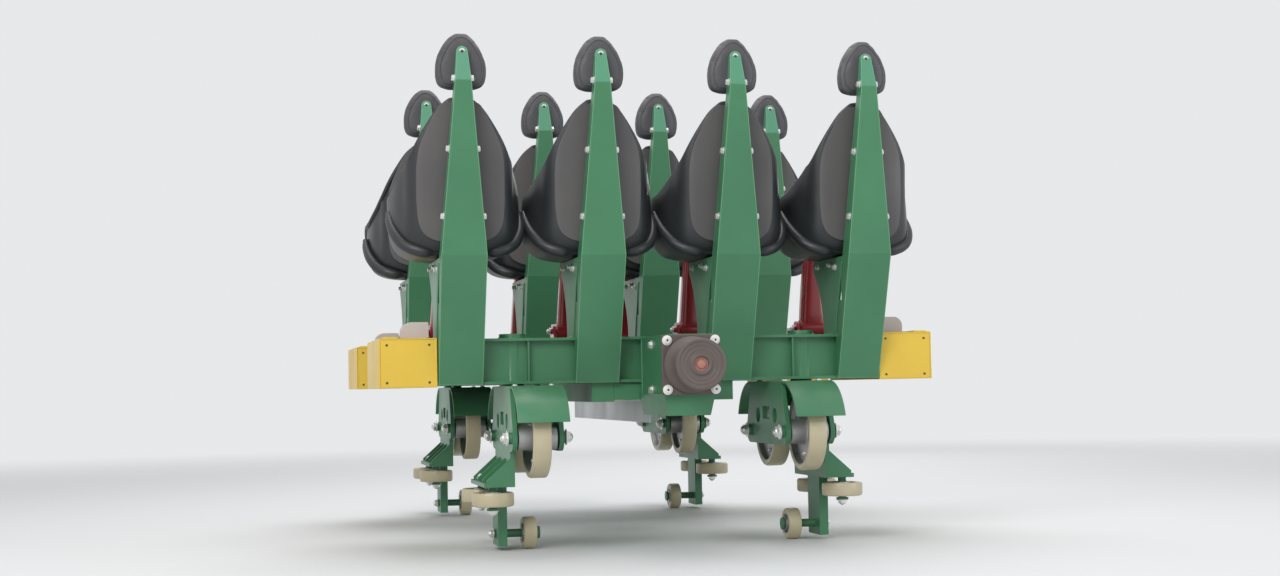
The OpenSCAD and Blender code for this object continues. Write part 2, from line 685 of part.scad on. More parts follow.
// Clevis on the front axle's beam, with the pin that the drawbar swings on
hitch_y = axle_y[1] + beam_d / 2 + hitch_out;
module drawbar_clevis() color(green) car() {
    translate([-90, axle_y[1] + beam_d / 2, coupling_z - 65]) cube([180, 20, 190]);
    for (z = [coupling_z - drawbar_h / 2 - clevis_t - 2, coupling_z + drawbar_h / 2 + 2])
        translate([0, 0, z]) linear_extrude(clevis_t) polygon(belt([
            [0, hitch_y, hitch_pin_r + 26], [-70, axle_y[1] + beam_d / 2 + 14, 6],
            [70, axle_y[1] + beam_d / 2 + 14, 6]]));
    translate([0, hitch_y, coupling_z - drawbar_h / 2 - clevis_t - 16])
        cylinder(r = hitch_pin_r, h = drawbar_h + 2 * clevis_t + 32);
}
module drawbar() color("dimgray") car() translate([0, 0, coupling_z - drawbar_h / 2]) difference() {
    union() {
        translate([0, hitch_y, 0]) cylinder(r = hitch_pin_r + 22, h = drawbar_h);
        translate([-drawbar_w / 2, hitch_y, 0]) cube([drawbar_w, eye_y - hitch_y, drawbar_h]);
        translate([0, eye_y, 0]) cylinder(r = eye_r, h = drawbar_h);
    }
    translate([0, hitch_y, -1]) cylinder(r = hitch_pin_r + run, h = drawbar_h + 2);
    translate([0, eye_y, -1]) cylinder(r = eye_bore_r, h = drawbar_h + 2);
}

rear_crossbeam();
middle_crossbeam();
front_axle_beam();
long_rails();
cross_ties();
lap_beams();
floor_pans();
brake_fin();
side_boxes();
box_pads();
seat_brackets();
lap_pivots();
coupling_stub();
buffer_plate();
buffer();
drawbar_clevis();
drawbar();
for (r = [0, 1]) {
    posts(row_y[r]);
    seat_shells(row_y[r]);
    buckets(row_y[r]);
    headrests(row_y[r]);
    for (i = [1:4])
        lap_bar(seat_x[i - 1], row_y[r]);
}
for (c = CARRIERS) {
    carrier(c[1], c[2]);
    for (w = WHEELS)
        wheel_of(c[1], c[2], w[1], w[2]);
}
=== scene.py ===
# Roller coaster car, seen from behind as in the photograph
import json
import math
import bmesh
import bpy
from mathutils import Matrix, Vector
from mathutils.bvhtree import BVHTree


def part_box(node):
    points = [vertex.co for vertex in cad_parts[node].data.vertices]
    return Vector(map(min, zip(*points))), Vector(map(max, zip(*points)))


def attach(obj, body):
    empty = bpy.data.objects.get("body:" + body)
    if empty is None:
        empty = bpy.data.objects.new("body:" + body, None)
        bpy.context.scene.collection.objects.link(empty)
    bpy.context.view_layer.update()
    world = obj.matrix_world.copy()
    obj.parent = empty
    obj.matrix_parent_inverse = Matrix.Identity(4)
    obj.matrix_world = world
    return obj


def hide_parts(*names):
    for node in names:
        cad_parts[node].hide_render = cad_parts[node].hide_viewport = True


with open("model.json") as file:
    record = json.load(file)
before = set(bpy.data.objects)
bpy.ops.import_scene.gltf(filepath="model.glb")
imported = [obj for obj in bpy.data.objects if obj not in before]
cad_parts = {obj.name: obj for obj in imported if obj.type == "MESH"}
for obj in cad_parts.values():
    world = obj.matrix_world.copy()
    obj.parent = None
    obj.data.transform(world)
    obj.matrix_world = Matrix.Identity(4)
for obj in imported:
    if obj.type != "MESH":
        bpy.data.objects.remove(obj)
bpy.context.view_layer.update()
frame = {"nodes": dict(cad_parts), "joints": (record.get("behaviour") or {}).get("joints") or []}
nodes = frame["nodes"]

# Studio: the camera stands 8.1 m behind the car, 1.85 m to its left and as high as the crossbeams'
# underside, and turns to bring the whole car into the picture. The floor is a pale disc that fades into
# a pale surround, and four large soft lamps light the car.
row_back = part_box("side_boxes")[0].y
beam_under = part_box("lap_beams")[0].z
row_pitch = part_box("middle_crossbeam")[0].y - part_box("rear_crossbeam")[0].y


def at(x, y, h):
    """A place from the car's middle, forward of the rear crossbeam's face and above its underside."""
    return Vector((x, row_back + y, beam_under + h))


CAMERA_AT = at(-1.845, -8.125, -0.016)
CAMERA_AZIMUTH, CAMERA_ELEVATION, CAMERA_ROLL = 12.11, 2.96, -1.08
CAMERA_LENS = 53.0
BACKDROP = (0.80, 0.81, 0.82, 1.0)
FLOOR_RADIUS, FADE_FROM, FADE_TO = 60.0, 4.0, 14.0

cam_data = bpy.data.cameras.new("camera")
cam_data.lens = CAMERA_LENS
camera = bpy.data.objects.new("camera", cam_data)
bpy.context.scene.collection.objects.link(camera)
camera.matrix_world = (
    Matrix.Translation(CAMERA_AT)
    @ Matrix.Rotation(math.radians(-CAMERA_AZIMUTH), 4, "Z")
    @ Matrix.Rotation(math.radians(90 + CAMERA_ELEVATION), 4, "X")
    @ Matrix.Rotation(math.radians(CAMERA_ROLL), 4, "Z")
)
bpy.context.scene.camera = camera
bpy.context.scene.view_settings.view_transform = "Standard"


def softbox(name, stand, aim, size, power, tint=(1, 1, 1)):
    """A round soft lamp that stands at one place and is aimed at another."""
    lamp = bpy.data.lights.new(name, "AREA")
    lamp.shape, lamp.size, lamp.energy, lamp.color = "DISK", size, power, tint
    obj = bpy.data.objects.new(name, lamp)
    bpy.context.scene.collection.objects.link(obj)
    obj.location = stand
    obj.rotation_mode = "QUATERNION"
    obj.rotation_quaternion = (Vector(aim) - Vector(stand)).to_track_quat("-Z", "Y")


softbox("key", (-4.5, -7.5, 5.5), (0, -0.5, 1.0), 4.5, 400, (1.0, 0.98, 0.95))
softbox("fill", (6.0, -5.0, 3.0), (0, 0, 1.0), 5.0, 130, (0.94, 0.97, 1.0))
softbox("top", (0.0, 1.0, 7.5), (0, 0.2, 1.0), 6.0, 300)
softbox("front", (3.5, 8.0, 4.5), (0, 0.5, 1.0), 5.0, 150)

world = bpy.data.worlds.new("surround")
bpy.context.scene.world = world
world.use_nodes = True
sky = world.node_tree
sky.nodes["Background"].inputs["Color"].default_value = BACKDROP
sky.nodes["Background"].inputs["Strength"].default_value = 0.55
seen = sky.nodes.new("ShaderNodeBackground")
seen.inputs["Color"].default_value = BACKDROP
seen.inputs["Strength"].default_value = 1.0
path = sky.nodes.new("ShaderNodeLightPath")
shown = path.outputs["Is Camera Ray"]
for ray in ("Is Glossy Ray", "Is Transmission Ray"):
    either = sky.nodes.new("ShaderNodeMath")
    either.operation = "MAXIMUM"
    sky.links.new(shown, either.inputs[0])
    sky.links.new(path.outputs[ray], either.inputs[1])
    shown = either.outputs[0]
pick = sky.nodes.new("ShaderNodeMixShader")
sky.links.new(shown, pick.inputs["Fac"])
sky.links.new(sky.nodes["Background"].outputs[0], pick.inputs[1])
sky.links.new(seen.outputs[0], pick.inputs[2])
sky.links.new(pick.outputs[0], sky.nodes["World Output"].inputs["Surface"])

bm = bmesh.new()
bmesh.ops.create_circle(bm, cap_ends=True, segments=96, radius=FLOOR_RADIUS)
floor_mesh = bpy.data.meshes.new("studio_floor")
bm.to_mesh(floor_mesh)
bm.free()
studio_floor = bpy.data.objects.new("studio_floor", floor_mesh)
bpy.context.scene.collection.objects.link(studio_floor)
floor_mat = bpy.data.materials.new("pale_floor")
floor_mat.use_nodes = True
floor_mesh.materials.append(floor_mat)
ft = floor_mat.node_tree
ft.nodes["Principled BSDF"].inputs["Base Color"].default_value = (0.70, 0.71, 0.72, 1)
ft.nodes["Principled BSDF"].inputs["Roughness"].default_value = 0.75
glow = ft.nodes.new("ShaderNodeEmission")
glow.inputs["Color"].default_value = BACKDROP
where = ft.nodes.new("ShaderNodeTexCoord")
reach = ft.nodes.new("ShaderNodeVectorMath")
reach.operation = "LENGTH"
fade = ft.nodes.new("ShaderNodeMapRange")
fade.interpolation_type = "SMOOTHSTEP"
fade.inputs["From Min"].default_value, fade.inputs["From Max"].default_value = FADE_FROM, FADE_TO
blend = ft.nodes.new("ShaderNodeMixShader")
ft.links.new(where.outputs["Object"], reach.inputs[0])
ft.links.new(reach.outputs["Value"], fade.inputs["Value"])
ft.links.new(fade.outputs["Result"], blend.inputs["Fac"])
ft.links.new(ft.nodes["Principled BSDF"].outputs[0], blend.inputs[1])
ft.links.new(glow.outputs[0], blend.inputs[2])
ft.links.new(blend.outputs[0], ft.nodes["Material Output"].inputs["Surface"])


# Welded frame: crossbeams, long rails, ties, lap bar beams, seat brackets, stub, clevis and wheel carriers
# are cut and folded steel plate, welded and sprayed with satin green paint. Their meshes come from the
# frame, and a merge and a bevel soften the cut edges.
def new_group(name, inputs, outputs):
    """A shader node group with its sockets, each a name, a type and a value."""
    group = bpy.data.node_groups.new(name, "ShaderNodeTree")
    for label, kind, value in inputs:
        socket = group.interface.new_socket(label, in_out="INPUT", socket_type="NodeSocket" + kind)
        if value is not None:
            socket.default_value = value
    for label, kind in outputs:
        group.interface.new_socket(label, in_out="OUTPUT", socket_type="NodeSocket" + kind)
    return group, group.nodes.new("NodeGroupInput"), group.nodes.new("NodeGroupOutput")


def noise(tree, vector, scale, detail=3.0, rough=0.55):
    """A noise texture reading a vector socket at a scale."""
    tex = tree.nodes.new("ShaderNodeTexNoise")
    tex.inputs["Scale"].default_value = scale
    tex.inputs["Detail"].default_value = detail
    tex.inputs["Roughness"].default_value = rough
    tree.links.new(vector, tex.inputs["Vector"])
    return tex.outputs["Fac"]


def ranged(tree, value, low, high, to_low=0.0, to_high=1.0):
    """Maps a value from low..high to a new range, clamped."""
    node = tree.nodes.new("ShaderNodeMapRange")
    for label, number in (("From Min", low), ("From Max", high), ("To Min", to_low), ("To Max", to_high)):
        node.inputs[label].default_value = number
    tree.links.new(value, node.inputs["Value"])
    return node.outputs["Result"]


def calc(tree, operation, a, b):
    """One Math node; a and b are sockets or numbers."""
    node = tree.nodes.new("ShaderNodeMath")
    node.operation = operation
    for i, v in enumerate((a, b)):
        if isinstance(v, (int, float)):
            node.inputs[i].default_value = v
        else:
            tree.links.new(v, node.inputs[i])
    return node.outputs[0]


def mixed(tree, factor, a, b):
    """Mixes two colours; a and b are sockets or colours."""
    node = tree.nodes.new("ShaderNodeMix")
    node.data_type = "RGBA"
    tree.links.new(factor, node.inputs["Factor"])
    for label, v in (("A", a), ("B", b)):
        socket = [s for s in node.inputs if s.name == label and s.type == "RGBA"][0]
        if isinstance(v, (tuple, list)):
            socket.default_value = v
        else:
            tree.links.new(v, socket)
    return [s for s in node.outputs if s.type == "RGBA"][0]


# Colour drift of a finish: wide soft patches and a fine grain, between two colours
drift, g_in, g_out = new_group(
    "colour_drift",
    [("Vector", "Vector", None), ("Light", "Color", (1, 1, 1, 1)), ("Dark", "Color", (0, 0, 0, 1)),
     ("Scale", "Float", 2.0), ("Grain", "Float", 0.25)],
    [("Color", "Color"), ("Mask", "Float")])
scaled = drift.nodes.new("ShaderNodeVectorMath")
scaled.operation = "SCALE"
drift.links.new(g_in.outputs["Vector"], scaled.inputs[0])
drift.links.new(g_in.outputs["Scale"], scaled.inputs["Scale"])
wide = ranged(drift, noise(drift, scaled.outputs[0], 1.0, 4.0), 0.3, 0.7)
fine = noise(drift, g_in.outputs["Vector"], 180.0, 2.0)
grained = calc(drift, "MULTIPLY", calc(drift, "SUBTRACT", fine, 0.5), g_in.outputs["Grain"])
mask = calc(drift, "ADD", wide, grained)
drift.links.new(mixed(drift, mask, g_in.outputs["Light"], g_in.outputs["Dark"]), g_out.inputs["Color"])
drift.links.new(mask, g_out.inputs["Mask"])

# Dust and rubbed edges: dust lies on faces that look up, and wear shows where two faces meet
weather, g_in, g_out = new_group(
    "dust_and_wear",
    [("Vector", "Vector", None), ("Color", "Color", (1, 1, 1, 1)), ("Dust", "Color", (0.4, 0.37, 0.33, 1)),
     ("Worn", "Color", (0.3, 0.3, 0.3, 1)), ("Dust Amount", "Float", 0.3), ("Wear Amount", "Float", 0.5)],
    [("Color", "Color"), ("Dust", "Float")])
geo = weather.nodes.new("ShaderNodeNewGeometry")
split = weather.nodes.new("ShaderNodeSeparateXYZ")
weather.links.new(geo.outputs["Normal"], split.inputs[0])
level = ranged(weather, split.outputs["Z"], 0.2, 1.0)
patchy = ranged(weather, noise(weather, g_in.outputs["Vector"], 9.0, 5.0), 0.35, 0.75)
dust = calc(weather, "MULTIPLY", calc(weather, "MULTIPLY", level, patchy), g_in.outputs["Dust Amount"])
round_edge = weather.nodes.new("ShaderNodeBevel")
round_edge.samples = 4
round_edge.inputs["Radius"].default_value = 0.004
dot = weather.nodes.new("ShaderNodeVectorMath")
dot.operation = "DOT_PRODUCT"
weather.links.new(round_edge.outputs[0], dot.inputs[0])
weather.links.new(geo.outputs["Normal"], dot.inputs[1])
edge = ranged(weather, dot.outputs["Value"], 0.98, 0.80)
chips = ranged(weather, noise(weather, g_in.outputs["Vector"], 34.0, 6.0, 0.7), 0.50, 0.66)
wear = calc(weather, "MULTIPLY", calc(weather, "MULTIPLY", edge, chips), g_in.outputs["Wear Amount"])
worn = mixed(weather, wear, g_in.outputs["Color"], g_in.outputs["Worn"])
weather.links.new(mixed(weather, dust, worn, g_in.outputs["Dust"]), g_out.inputs["Color"])
weather.links.new(dust, g_out.inputs["Dust"])


def finish(name, light, dark, rough, bump=(220.0, 0.15), metallic=0.0, coat=0.0, dust=0.25, wear=0.4,
           worn=(0.30, 0.30, 0.29, 1), scale=2.0, grain=0.2, rough_drift=0.08):
    """A material with drifting colour, dust, worn edges and a fine bump."""
    mat = bpy.data.materials.new(name)
    mat.use_nodes = True
    tree = mat.node_tree
    bsdf = tree.nodes["Principled BSDF"]
    coord = tree.nodes.new("ShaderNodeTexCoord").outputs["Object"]
    tone = tree.nodes.new("ShaderNodeGroup")
    tone.node_tree = drift
    tone.inputs["Light"].default_value = (*light, 1)
    tone.inputs["Dark"].default_value = (*dark, 1)
    tone.inputs["Scale"].default_value = scale
    tone.inputs["Grain"].default_value = grain
    aged = tree.nodes.new("ShaderNodeGroup")
    aged.node_tree = weather
    aged.inputs["Dust Amount"].default_value = dust
    aged.inputs["Wear Amount"].default_value = wear
    aged.inputs["Worn"].default_value = worn
    tree.links.new(coord, tone.inputs["Vector"])
    tree.links.new(coord, aged.inputs["Vector"])
    tree.links.new(tone.outputs["Color"], aged.inputs["Color"])
    tree.links.new(aged.outputs["Color"], bsdf.inputs["Base Color"])
    base = ranged(tree, tone.outputs["Mask"], 0.0, 1.0, rough - rough_drift, rough + rough_drift)
    tree.links.new(calc(tree, "ADD", base, calc(tree, "MULTIPLY", aged.outputs["Dust"], 0.4)),
                   bsdf.inputs["Roughness"])
    bsdf.inputs["Metallic"].default_value = metallic
    bsdf.inputs["Coat Weight"].default_value = coat
    bsdf.inputs["Coat Roughness"].default_value = 0.12
    relief = tree.nodes.new("ShaderNodeBump")
    relief.inputs["Strength"].default_value = bump[1]
    relief.inputs["Distance"].default_value = 0.001
    tree.links.new(noise(tree, coord, bump[0], 3.0), relief.inputs["Height"])
    tree.links.new(relief.outputs[0], bsdf.inputs["Normal"])
    return mat


def paint_node(name, mat, width=0.0015):
    """Gives a frame node its finish and softens its cut edges."""
    obj = nodes[name]
    for slot in obj.material_slots:
        slot.material = mat
    merge = obj.modifiers.new("merge", "WELD")
    merge.merge_threshold = 0.00005
    bevel = obj.modifiers.new("soft_edges", "BEVEL")
    bevel.width, bevel.segments, bevel.limit_method, bevel.angle_limit = width, 3, "ANGLE", math.radians(50)


green = finish("green_paint", (0.058, 0.222, 0.106), (0.044, 0.176, 0.084), 0.42, coat=0.08, dust=0.16, wear=0.5,
               worn=(0.22, 0.30, 0.25, 1))
GREEN_NODES = ["rear_crossbeam", "middle_crossbeam", "front_axle_beam", "long_rails", "cross_ties",
               "lap_beams", "seat_brackets", "coupling_stub", "drawbar_clevis"]
carriers = [n for n in nodes if n.endswith("_carrier")]
for name in GREEN_NODES + carriers:
    paint_node(name, green)

# Posts: folded channels in the same paint, with a painted highlight along their folds and painted light above the
# upper bend, where the tip faces up.
# Each is welded to the crossbeam at its foot and carries its seat's back and headrest.
post_green_and_painted_light = finish("post_paint_and_painted_light", (0.058, 0.222, 0.106), (0.044, 0.176, 0.084), 0.42, coat=0.08, dust=0.16,
                    wear=0.5, worn=(0.22, 0.30, 0.25, 1))
# A paler green painted on as light over the tip above the upper bend, and a pale green painted on as a highlight
# along the folds
TIP_PAINTED_LIGHT, FOLD_PAINTED_HIGHLIGHT = (0.090, 0.288, 0.175, 1), (0.180, 0.450, 0.235, 1)
POST_BEND_H, POST_BEND_BACK, POST_BEND_HALF = 0.549, 0.200, 0.098
POST_KNEE_H, POST_KNEE_BACK, POST_KNEE_HALF = 1.289, 0.243, 0.035
tree = post_green_and_painted_light.node_tree
place = tree.nodes.new("ShaderNodeSeparateXYZ")
tree.links.new(tree.nodes.new("ShaderNodeTexCoord").outputs["Object"], place.inputs[0])
knee = at(0, 0, POST_KNEE_H).z
# Mask for the painted light above the upper bend
tip_light_mask = ranged(tree, place.outputs["Z"], knee - 0.004, knee + 0.004)
round_fold = tree.nodes.new("ShaderNodeBevel")
round_fold.samples = 6
round_fold.inputs["Radius"].default_value = 0.009
turned = tree.nodes.new("ShaderNodeVectorMath")
turned.operation = "DOT_PRODUCT"
tree.links.new(round_fold.outputs[0], turned.inputs[0])
tree.links.new(tree.nodes.new("ShaderNodeNewGeometry").outputs["Normal"], turned.inputs[1])
# Mask for the painted highlight along the folds, taken from how far the bevel turns the normal
fold_highlight_mask = ranged(tree, turned.outputs["Value"], 0.99, 0.90, 0.0, 0.7)
base_colour = tree.nodes["Principled BSDF"].inputs["Base Color"]
paint = mixed(tree, tip_light_mask, base_colour.links[0].from_socket, TIP_PAINTED_LIGHT)
tree.links.new(mixed(tree, fold_highlight_mask, paint, FOLD_PAINTED_HIGHLIGHT), base_colour)
for name in ("rear_posts", "front_posts"):
    paint_node(name, post_green_and_painted_light, 0.004)

# Weld beads: fillets of weld run along the joints of the posts, the kingpin bosses and the coupling stub.
# They are laid by hand, a little uneven, and lie under the same green paint.
welded = finish("painted_weld", (0.062, 0.232, 0.112), (0.046, 0.180, 0.088), 0.36, bump=(150.0, 0.8), coat=0.2,
                dust=0.2, wear=0.5, worn=(0.22, 0.30, 0.25, 1))


def ring(bm, place, half_x, half_y, segments=12, square=2.0):
    """A loop of edges across local Z: an ellipse, squarer as square grows."""
    verts = bmesh.ops.create_circle(bm, segments=segments, radius=1.0)["verts"]
    for v in verts:
        v.co = place @ Vector((math.copysign(abs(v.co.x) ** (2 / square) * half_x, v.co.x),
                               math.copysign(abs(v.co.y) ** (2 / square) * half_y, v.co.y), 0))
    return list({e for v in verts for e in v.link_edges})


def bar(bm, points, sizes, segments=12, square=2.0, closed=False):
    """A bar through points, its half widths [across, deep] at each: rings bridged one to the next."""
    rings, count = [], len(points)
    for i, p in enumerate(points):
        way = (points[(i + 1) % count] if closed or i < count - 1 else p) - (points[i - 1] if closed or i else p)
        way.normalize()
        guide = Vector((0, 0, 1)) if abs(way.x) > 0.7 else Vector((1, 0, 0))
        deep = way.cross(guide).normalized()
        place = Matrix((deep.cross(way), deep, way)).transposed().to_4x4()
        place.translation = p
        size = sizes[i] if isinstance(sizes, list) else sizes
        rings.append(ring(bm, place, size[0], size[1], segments, square))
    for a, b in zip(rings, rings[1:] + rings[:1] if closed else rings[1:]):
        bmesh.ops.bridge_loops(bm, edges=a + b)
    if not closed:
        for loop in (rings[0], rings[-1]):
            bmesh.ops.holes_fill(bm, edges=loop)


def settle(name, bm, mats, body="car", smooth=35):
    """Makes a piece of a bmesh, gives it its materials and lets it ride on a body."""
    bmesh.ops.recalc_face_normals(bm, faces=bm.faces)
    mesh = bpy.data.meshes.new(name)
    bm.to_mesh(mesh)
    bm.free()
    for mat in mats if isinstance(mats, (list, tuple)) else [mats]:
        mesh.materials.append(mat)
    obj = bpy.data.objects.new(name, mesh)
    bpy.context.scene.collection.objects.link(obj)
    mesh.shade_smooth()
    mesh.set_sharp_from_angle(angle=math.radians(smooth))
    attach(obj, body)
    return obj


def weld(bm, a, b, size=0.005):
    """A straight bead from a to b, uneven as a hand lays it."""
    steps = max(2, int((b - a).length / 0.03))
    wide = [size * (1 + 0.14 * math.sin(2.3 * i)) for i in range(steps + 1)]
    bar(bm, [a.lerp(b, i / steps) for i in range(steps + 1)], [(w, w) for w in wide], segments=8)


def round_weld(bm, centre, radius, size=0.005):
    """A bead round an upright boss."""
    steps = 40
    spots = [centre + Matrix.Rotation(i * math.tau / steps, 3, "Z") @ Vector((radius, 0, 0)) for i in range(steps)]
    wide = [size * (1 + 0.14 * math.sin(2.3 * i)) for i in range(steps)]
    bar(bm, spots, [(w, w) for w in wide], segments=8, closed=True)


seats = {row: [j["pos_m"][0] for j in frame["joints"] if j["child"].startswith(row + "_lap_bar_")]
         for row in ("rear", "front")}
row_at = {"rear": 0.0, "front": row_pitch}
BEAM_TOP_H, BEAM_FLANGES, BOSS_X, BOSS_YS, BOSS_R = 0.202, (0.006, 0.194), 0.660, (0.100, 2.450), 0.059
bm = bmesh.new()
for row, y in row_at.items():
    for x in seats[row]:
        for s in (-1, 1):
            for h in BEAM_FLANGES:
                weld(bm, at(x + s * 0.096, y + 0.010, h - 0.006), at(x + s * 0.096, y + 0.010, h + 0.006), 0.004)
            weld(bm, at(x + s * 0.099, y + 0.022, BEAM_TOP_H), at(x + s * 0.099, y + 0.186, BEAM_TOP_H))
            weld(bm, at(x + s * 0.099, y + 0.020, 0.204), at(x + s * 0.099, y - 0.100, 0.520), 0.004)
        weld(bm, at(x - 0.094, y + 0.014, BEAM_TOP_H), at(x + 0.094, y + 0.014, BEAM_TOP_H), 0.004)
for s in (-1, 1):
    for y in BOSS_YS:
        round_weld(bm, at(s * BOSS_X, y, 0.201), BOSS_R)
    weld(bm, at(s * 0.096, 0.012, -0.050), at(s * 0.096, 0.012, 0.186))
    weld(bm, at(s * 0.096, -0.480, -0.057), at(s * 0.105, 0.006, -0.057))
settle("weld_beads", bm, welded)

# Bolts and nuts: zinc-plated hex bolts on washers hold the seats to the posts and brackets, the headrests
# to the posts and the stub to the crossbeam, and domed nuts close the pins of the lap bars.
zinc = finish("zinc_plate", (0.86, 0.86, 0.84), (0.70, 0.70, 0.68), 0.38, metallic=0.75, dust=0.05, wear=0.0,
              scale=30.0)


def placed(spot, axis):
    """The transform that stands local +Z on an axis at a point."""
    return Matrix.Translation(spot) @ Vector((0, 0, 1)).rotation_difference(Vector(axis)).to_matrix().to_4x4()


def disc(bm, place, low, high, r0, r1=None, segments=32):
    """A round slice along local Z between two heights."""
    bmesh.ops.create_cone(bm, cap_ends=True, segments=segments, radius1=r0, radius2=r0 if r1 is None else r1,
                          depth=high - low, matrix=place @ Matrix.Translation((0, 0, (low + high) / 2)))


def hex_bolt(bm, spot, axis, across=0.024, head=0.012):
    """Washer, hex head and a chamfered crown."""
    place, r = placed(spot, axis), across / 2 / math.cos(math.radians(30))
    disc(bm, place, 0.0, 0.003, across * 0.78, segments=24)
    disc(bm, place, 0.003, 0.003 + head * 0.85, r, segments=6)
    disc(bm, place, 0.003 + head * 0.85, 0.003 + head, r, r * 0.80, segments=6)


def domed_nut(bm, spot, axis, across=0.024):
    """Washer, hex body and a round dome."""
    place, r = placed(spot, axis), across / 2 / math.cos(math.radians(30))
    disc(bm, place, 0.0, across * 0.10, across * 0.72, segments=24)
    disc(bm, place, across * 0.10, across * 0.42, r, segments=6)
    for low, high, r0, r1 in ((0.42, 0.54, 0.42, 0.38), (0.54, 0.66, 0.38, 0.24), (0.66, 0.72, 0.24, 0.07)):
        disc(bm, place, across * low, across * high, across * r0, across * r1, segments=24)


def up_post(h, at_bend, at_knee):
    """A size of a post at a height, on the line from its value at the bend to that at the knee."""
    return at_bend + (at_knee - at_bend) * (h - POST_BEND_H) / (POST_KNEE_H - POST_BEND_H)


def post_back(h):
    """Where a post's rear face lies behind its foot at a height above its lower bend."""
    return up_post(h, -POST_BEND_BACK, -POST_KNEE_BACK)


def post_half(h):
    """Half width of a post at a height above its lower bend."""
    return up_post(h, POST_BEND_HALF, POST_KNEE_HALF)


SEAT_BOLT_HS, HEAD_BOLT_H, POST_BOLT_IN = (0.714, 1.000), 1.299, 0.030
BRACKET_BOLTS = ((0.0, 0.500, 0.020), (0.080, 0.515, 0.018), (0.250, 0.515, 0.018))
LAP_NUT_X, LAP_NUT_Y, LAP_NUT_H = 0.094, 0.690, 0.248
bm = bmesh.new()
for row, y in row_at.items():
    for x in seats[row]:
        for s in (-1, 1):
            for h in (*SEAT_BOLT_HS, HEAD_BOLT_H):
                hex_bolt(bm, at(x + s * (post_half(h) - 0.001), y + post_back(h) + POST_BOLT_IN, h), (s, 0, 0.085))
            for dy, h, across in BRACKET_BOLTS:
                hex_bolt(bm, at(x + s * POST_BEND_HALF, y + dy, h), (s, 0, 0), across)
            domed_nut(bm, at(x + s * LAP_NUT_X, y + LAP_NUT_Y, LAP_NUT_H), (s, 0, 0))
for s in (-1, 1):
    for h in (0.157, -0.037):
        hex_bolt(bm, at(s * 0.095, -0.183, h), (s, 0, 0), 0.028)
settle("frame_bolts", bm, zinc)

# Coupling bolts: white-coated button heads on washers hold the buffer's plate to the stub at its corners.
# Each has a dark hexagon on its head, painted shade that stands in for its hex socket.
white = finish("white_coating", (0.84, 0.84, 0.82), (0.74, 0.74, 0.72), 0.35, dust=0.1, wear=0.2, scale=20.0)
# Blackened steel for the box screws; it also paints the shade of the hex sockets
dark_steel_and_socket_shade = finish("blackened_steel_and_socket_shade", (0.10, 0.10, 0.10), (0.06, 0.06, 0.06), 0.45, metallic=0.8, dust=0.15)
PLATE_REAR, PLATE_H, PLATE_BOLT_OUT = -0.515, 0.066, 0.1025
bm, socket_shades = bmesh.new(), bmesh.new()
for x in (-PLATE_BOLT_OUT, PLATE_BOLT_OUT):
    for dh in (-PLATE_BOLT_OUT, PLATE_BOLT_OUT):
        place = placed(at(x, PLATE_REAR, PLATE_H + dh), (0, -1, 0))
        disc(bm, place, 0.0, 0.003, 0.0210, segments=40)
        disc(bm, place, 0.003, 0.009, 0.0165, segments=40)
        disc(bm, place, 0.009, 0.013, 0.0165, 0.0125, segments=40)
        # A flat dark hexagon on the head: painted shade in place of a recessed socket
        disc(socket_shades, place, 0.0131, 0.0135, 0.0052, segments=6)
settle("plate_bolts", bm, white)
settle("plate_bolt_socket_shades", socket_shades, dark_steel_and_socket_shade)

# Side boxes: folded yellow sheet over the end of each row's frame, with a raised tab on the outer edge
# and small dark screws near the corners. They are bolted on from behind.
yellow = finish("yellow_paint", (0.80, 0.55, 0.065), (0.70, 0.46, 0.045), 0.42, coat=0.1, dust=0.3, wear=0.35,
                worn=(0.45, 0.42, 0.36, 1))
paint_node("side_boxes", yellow, 0.002)
BOX_SCREW_XS, BOX_TOP_H = (1.034, 1.216), 0.205
bm = bmesh.new()
for row, y in row_at.items():
    for s in (-1, 1):
        for x in BOX_SCREW_XS:
            for h in (0.014, 0.176):
                disc(bm, placed(at(s * x, y + 0.003, h), (0, -1, 0)), 0.0, 0.0030, 0.0055, 0.0040, segments=20)
        for dy in (0.05, 0.36, 0.68):
            place = placed(at(s * BOX_SCREW_XS[0], y + dy, BOX_TOP_H), (0, 0, 1))
            disc(bm, place, 0.0, 0.0030, 0.0060, 0.0045, segments=20)
settle("box_screws", bm, dark_steel_and_socket_shade)

# Box blocks: a pale moulded plastic block stands on each side box, with rounded edges. It is screwed on
# from inside the box.
pale = finish("pale_plastic", (0.62, 0.55, 0.55), (0.54, 0.47, 0.47), 0.5, wear=0.0, dust=0.35)
paint_node("box_pads", pale, 0.005)

# Floors: aluminium tread plate with raised lugs, folded down at its front edge. Rows of zinc-plated screws
# hold it to the frame.
lugs, g_in, g_out = new_group("tread_lugs", [("Vector", "Vector", None), ("Pitch", "Float", 0.032)],
                              [("Height", "Float")])
axes = lugs.nodes.new("ShaderNodeSeparateXYZ")
lugs.links.new(g_in.outputs["Vector"], axes.inputs[0])
diagonals = [calc(lugs, "DIVIDE", calc(lugs, op, axes.outputs["X"], axes.outputs["Y"]), g_in.outputs["Pitch"])
             for op in ("ADD", "SUBTRACT")]
lug_sets = []
for shift, spread in ((0.0, (0.40, 0.12)), (0.5, (0.12, 0.40))):
    reach = None
    for diagonal, half in zip(diagonals, spread):
        cell = calc(lugs, "SUBTRACT", calc(lugs, "FRACT", calc(lugs, "ADD", diagonal, shift), 0), 0.5)
        part = calc(lugs, "POWER", calc(lugs, "ABSOLUTE", calc(lugs, "DIVIDE", cell, half), 0), 2.0)
        reach = part if reach is None else calc(lugs, "ADD", reach, part)
    lug_sets.append(ranged(lugs, reach, 1.0, 0.35))
lugs.links.new(calc(lugs, "MAXIMUM", *lug_sets), g_out.inputs["Height"])
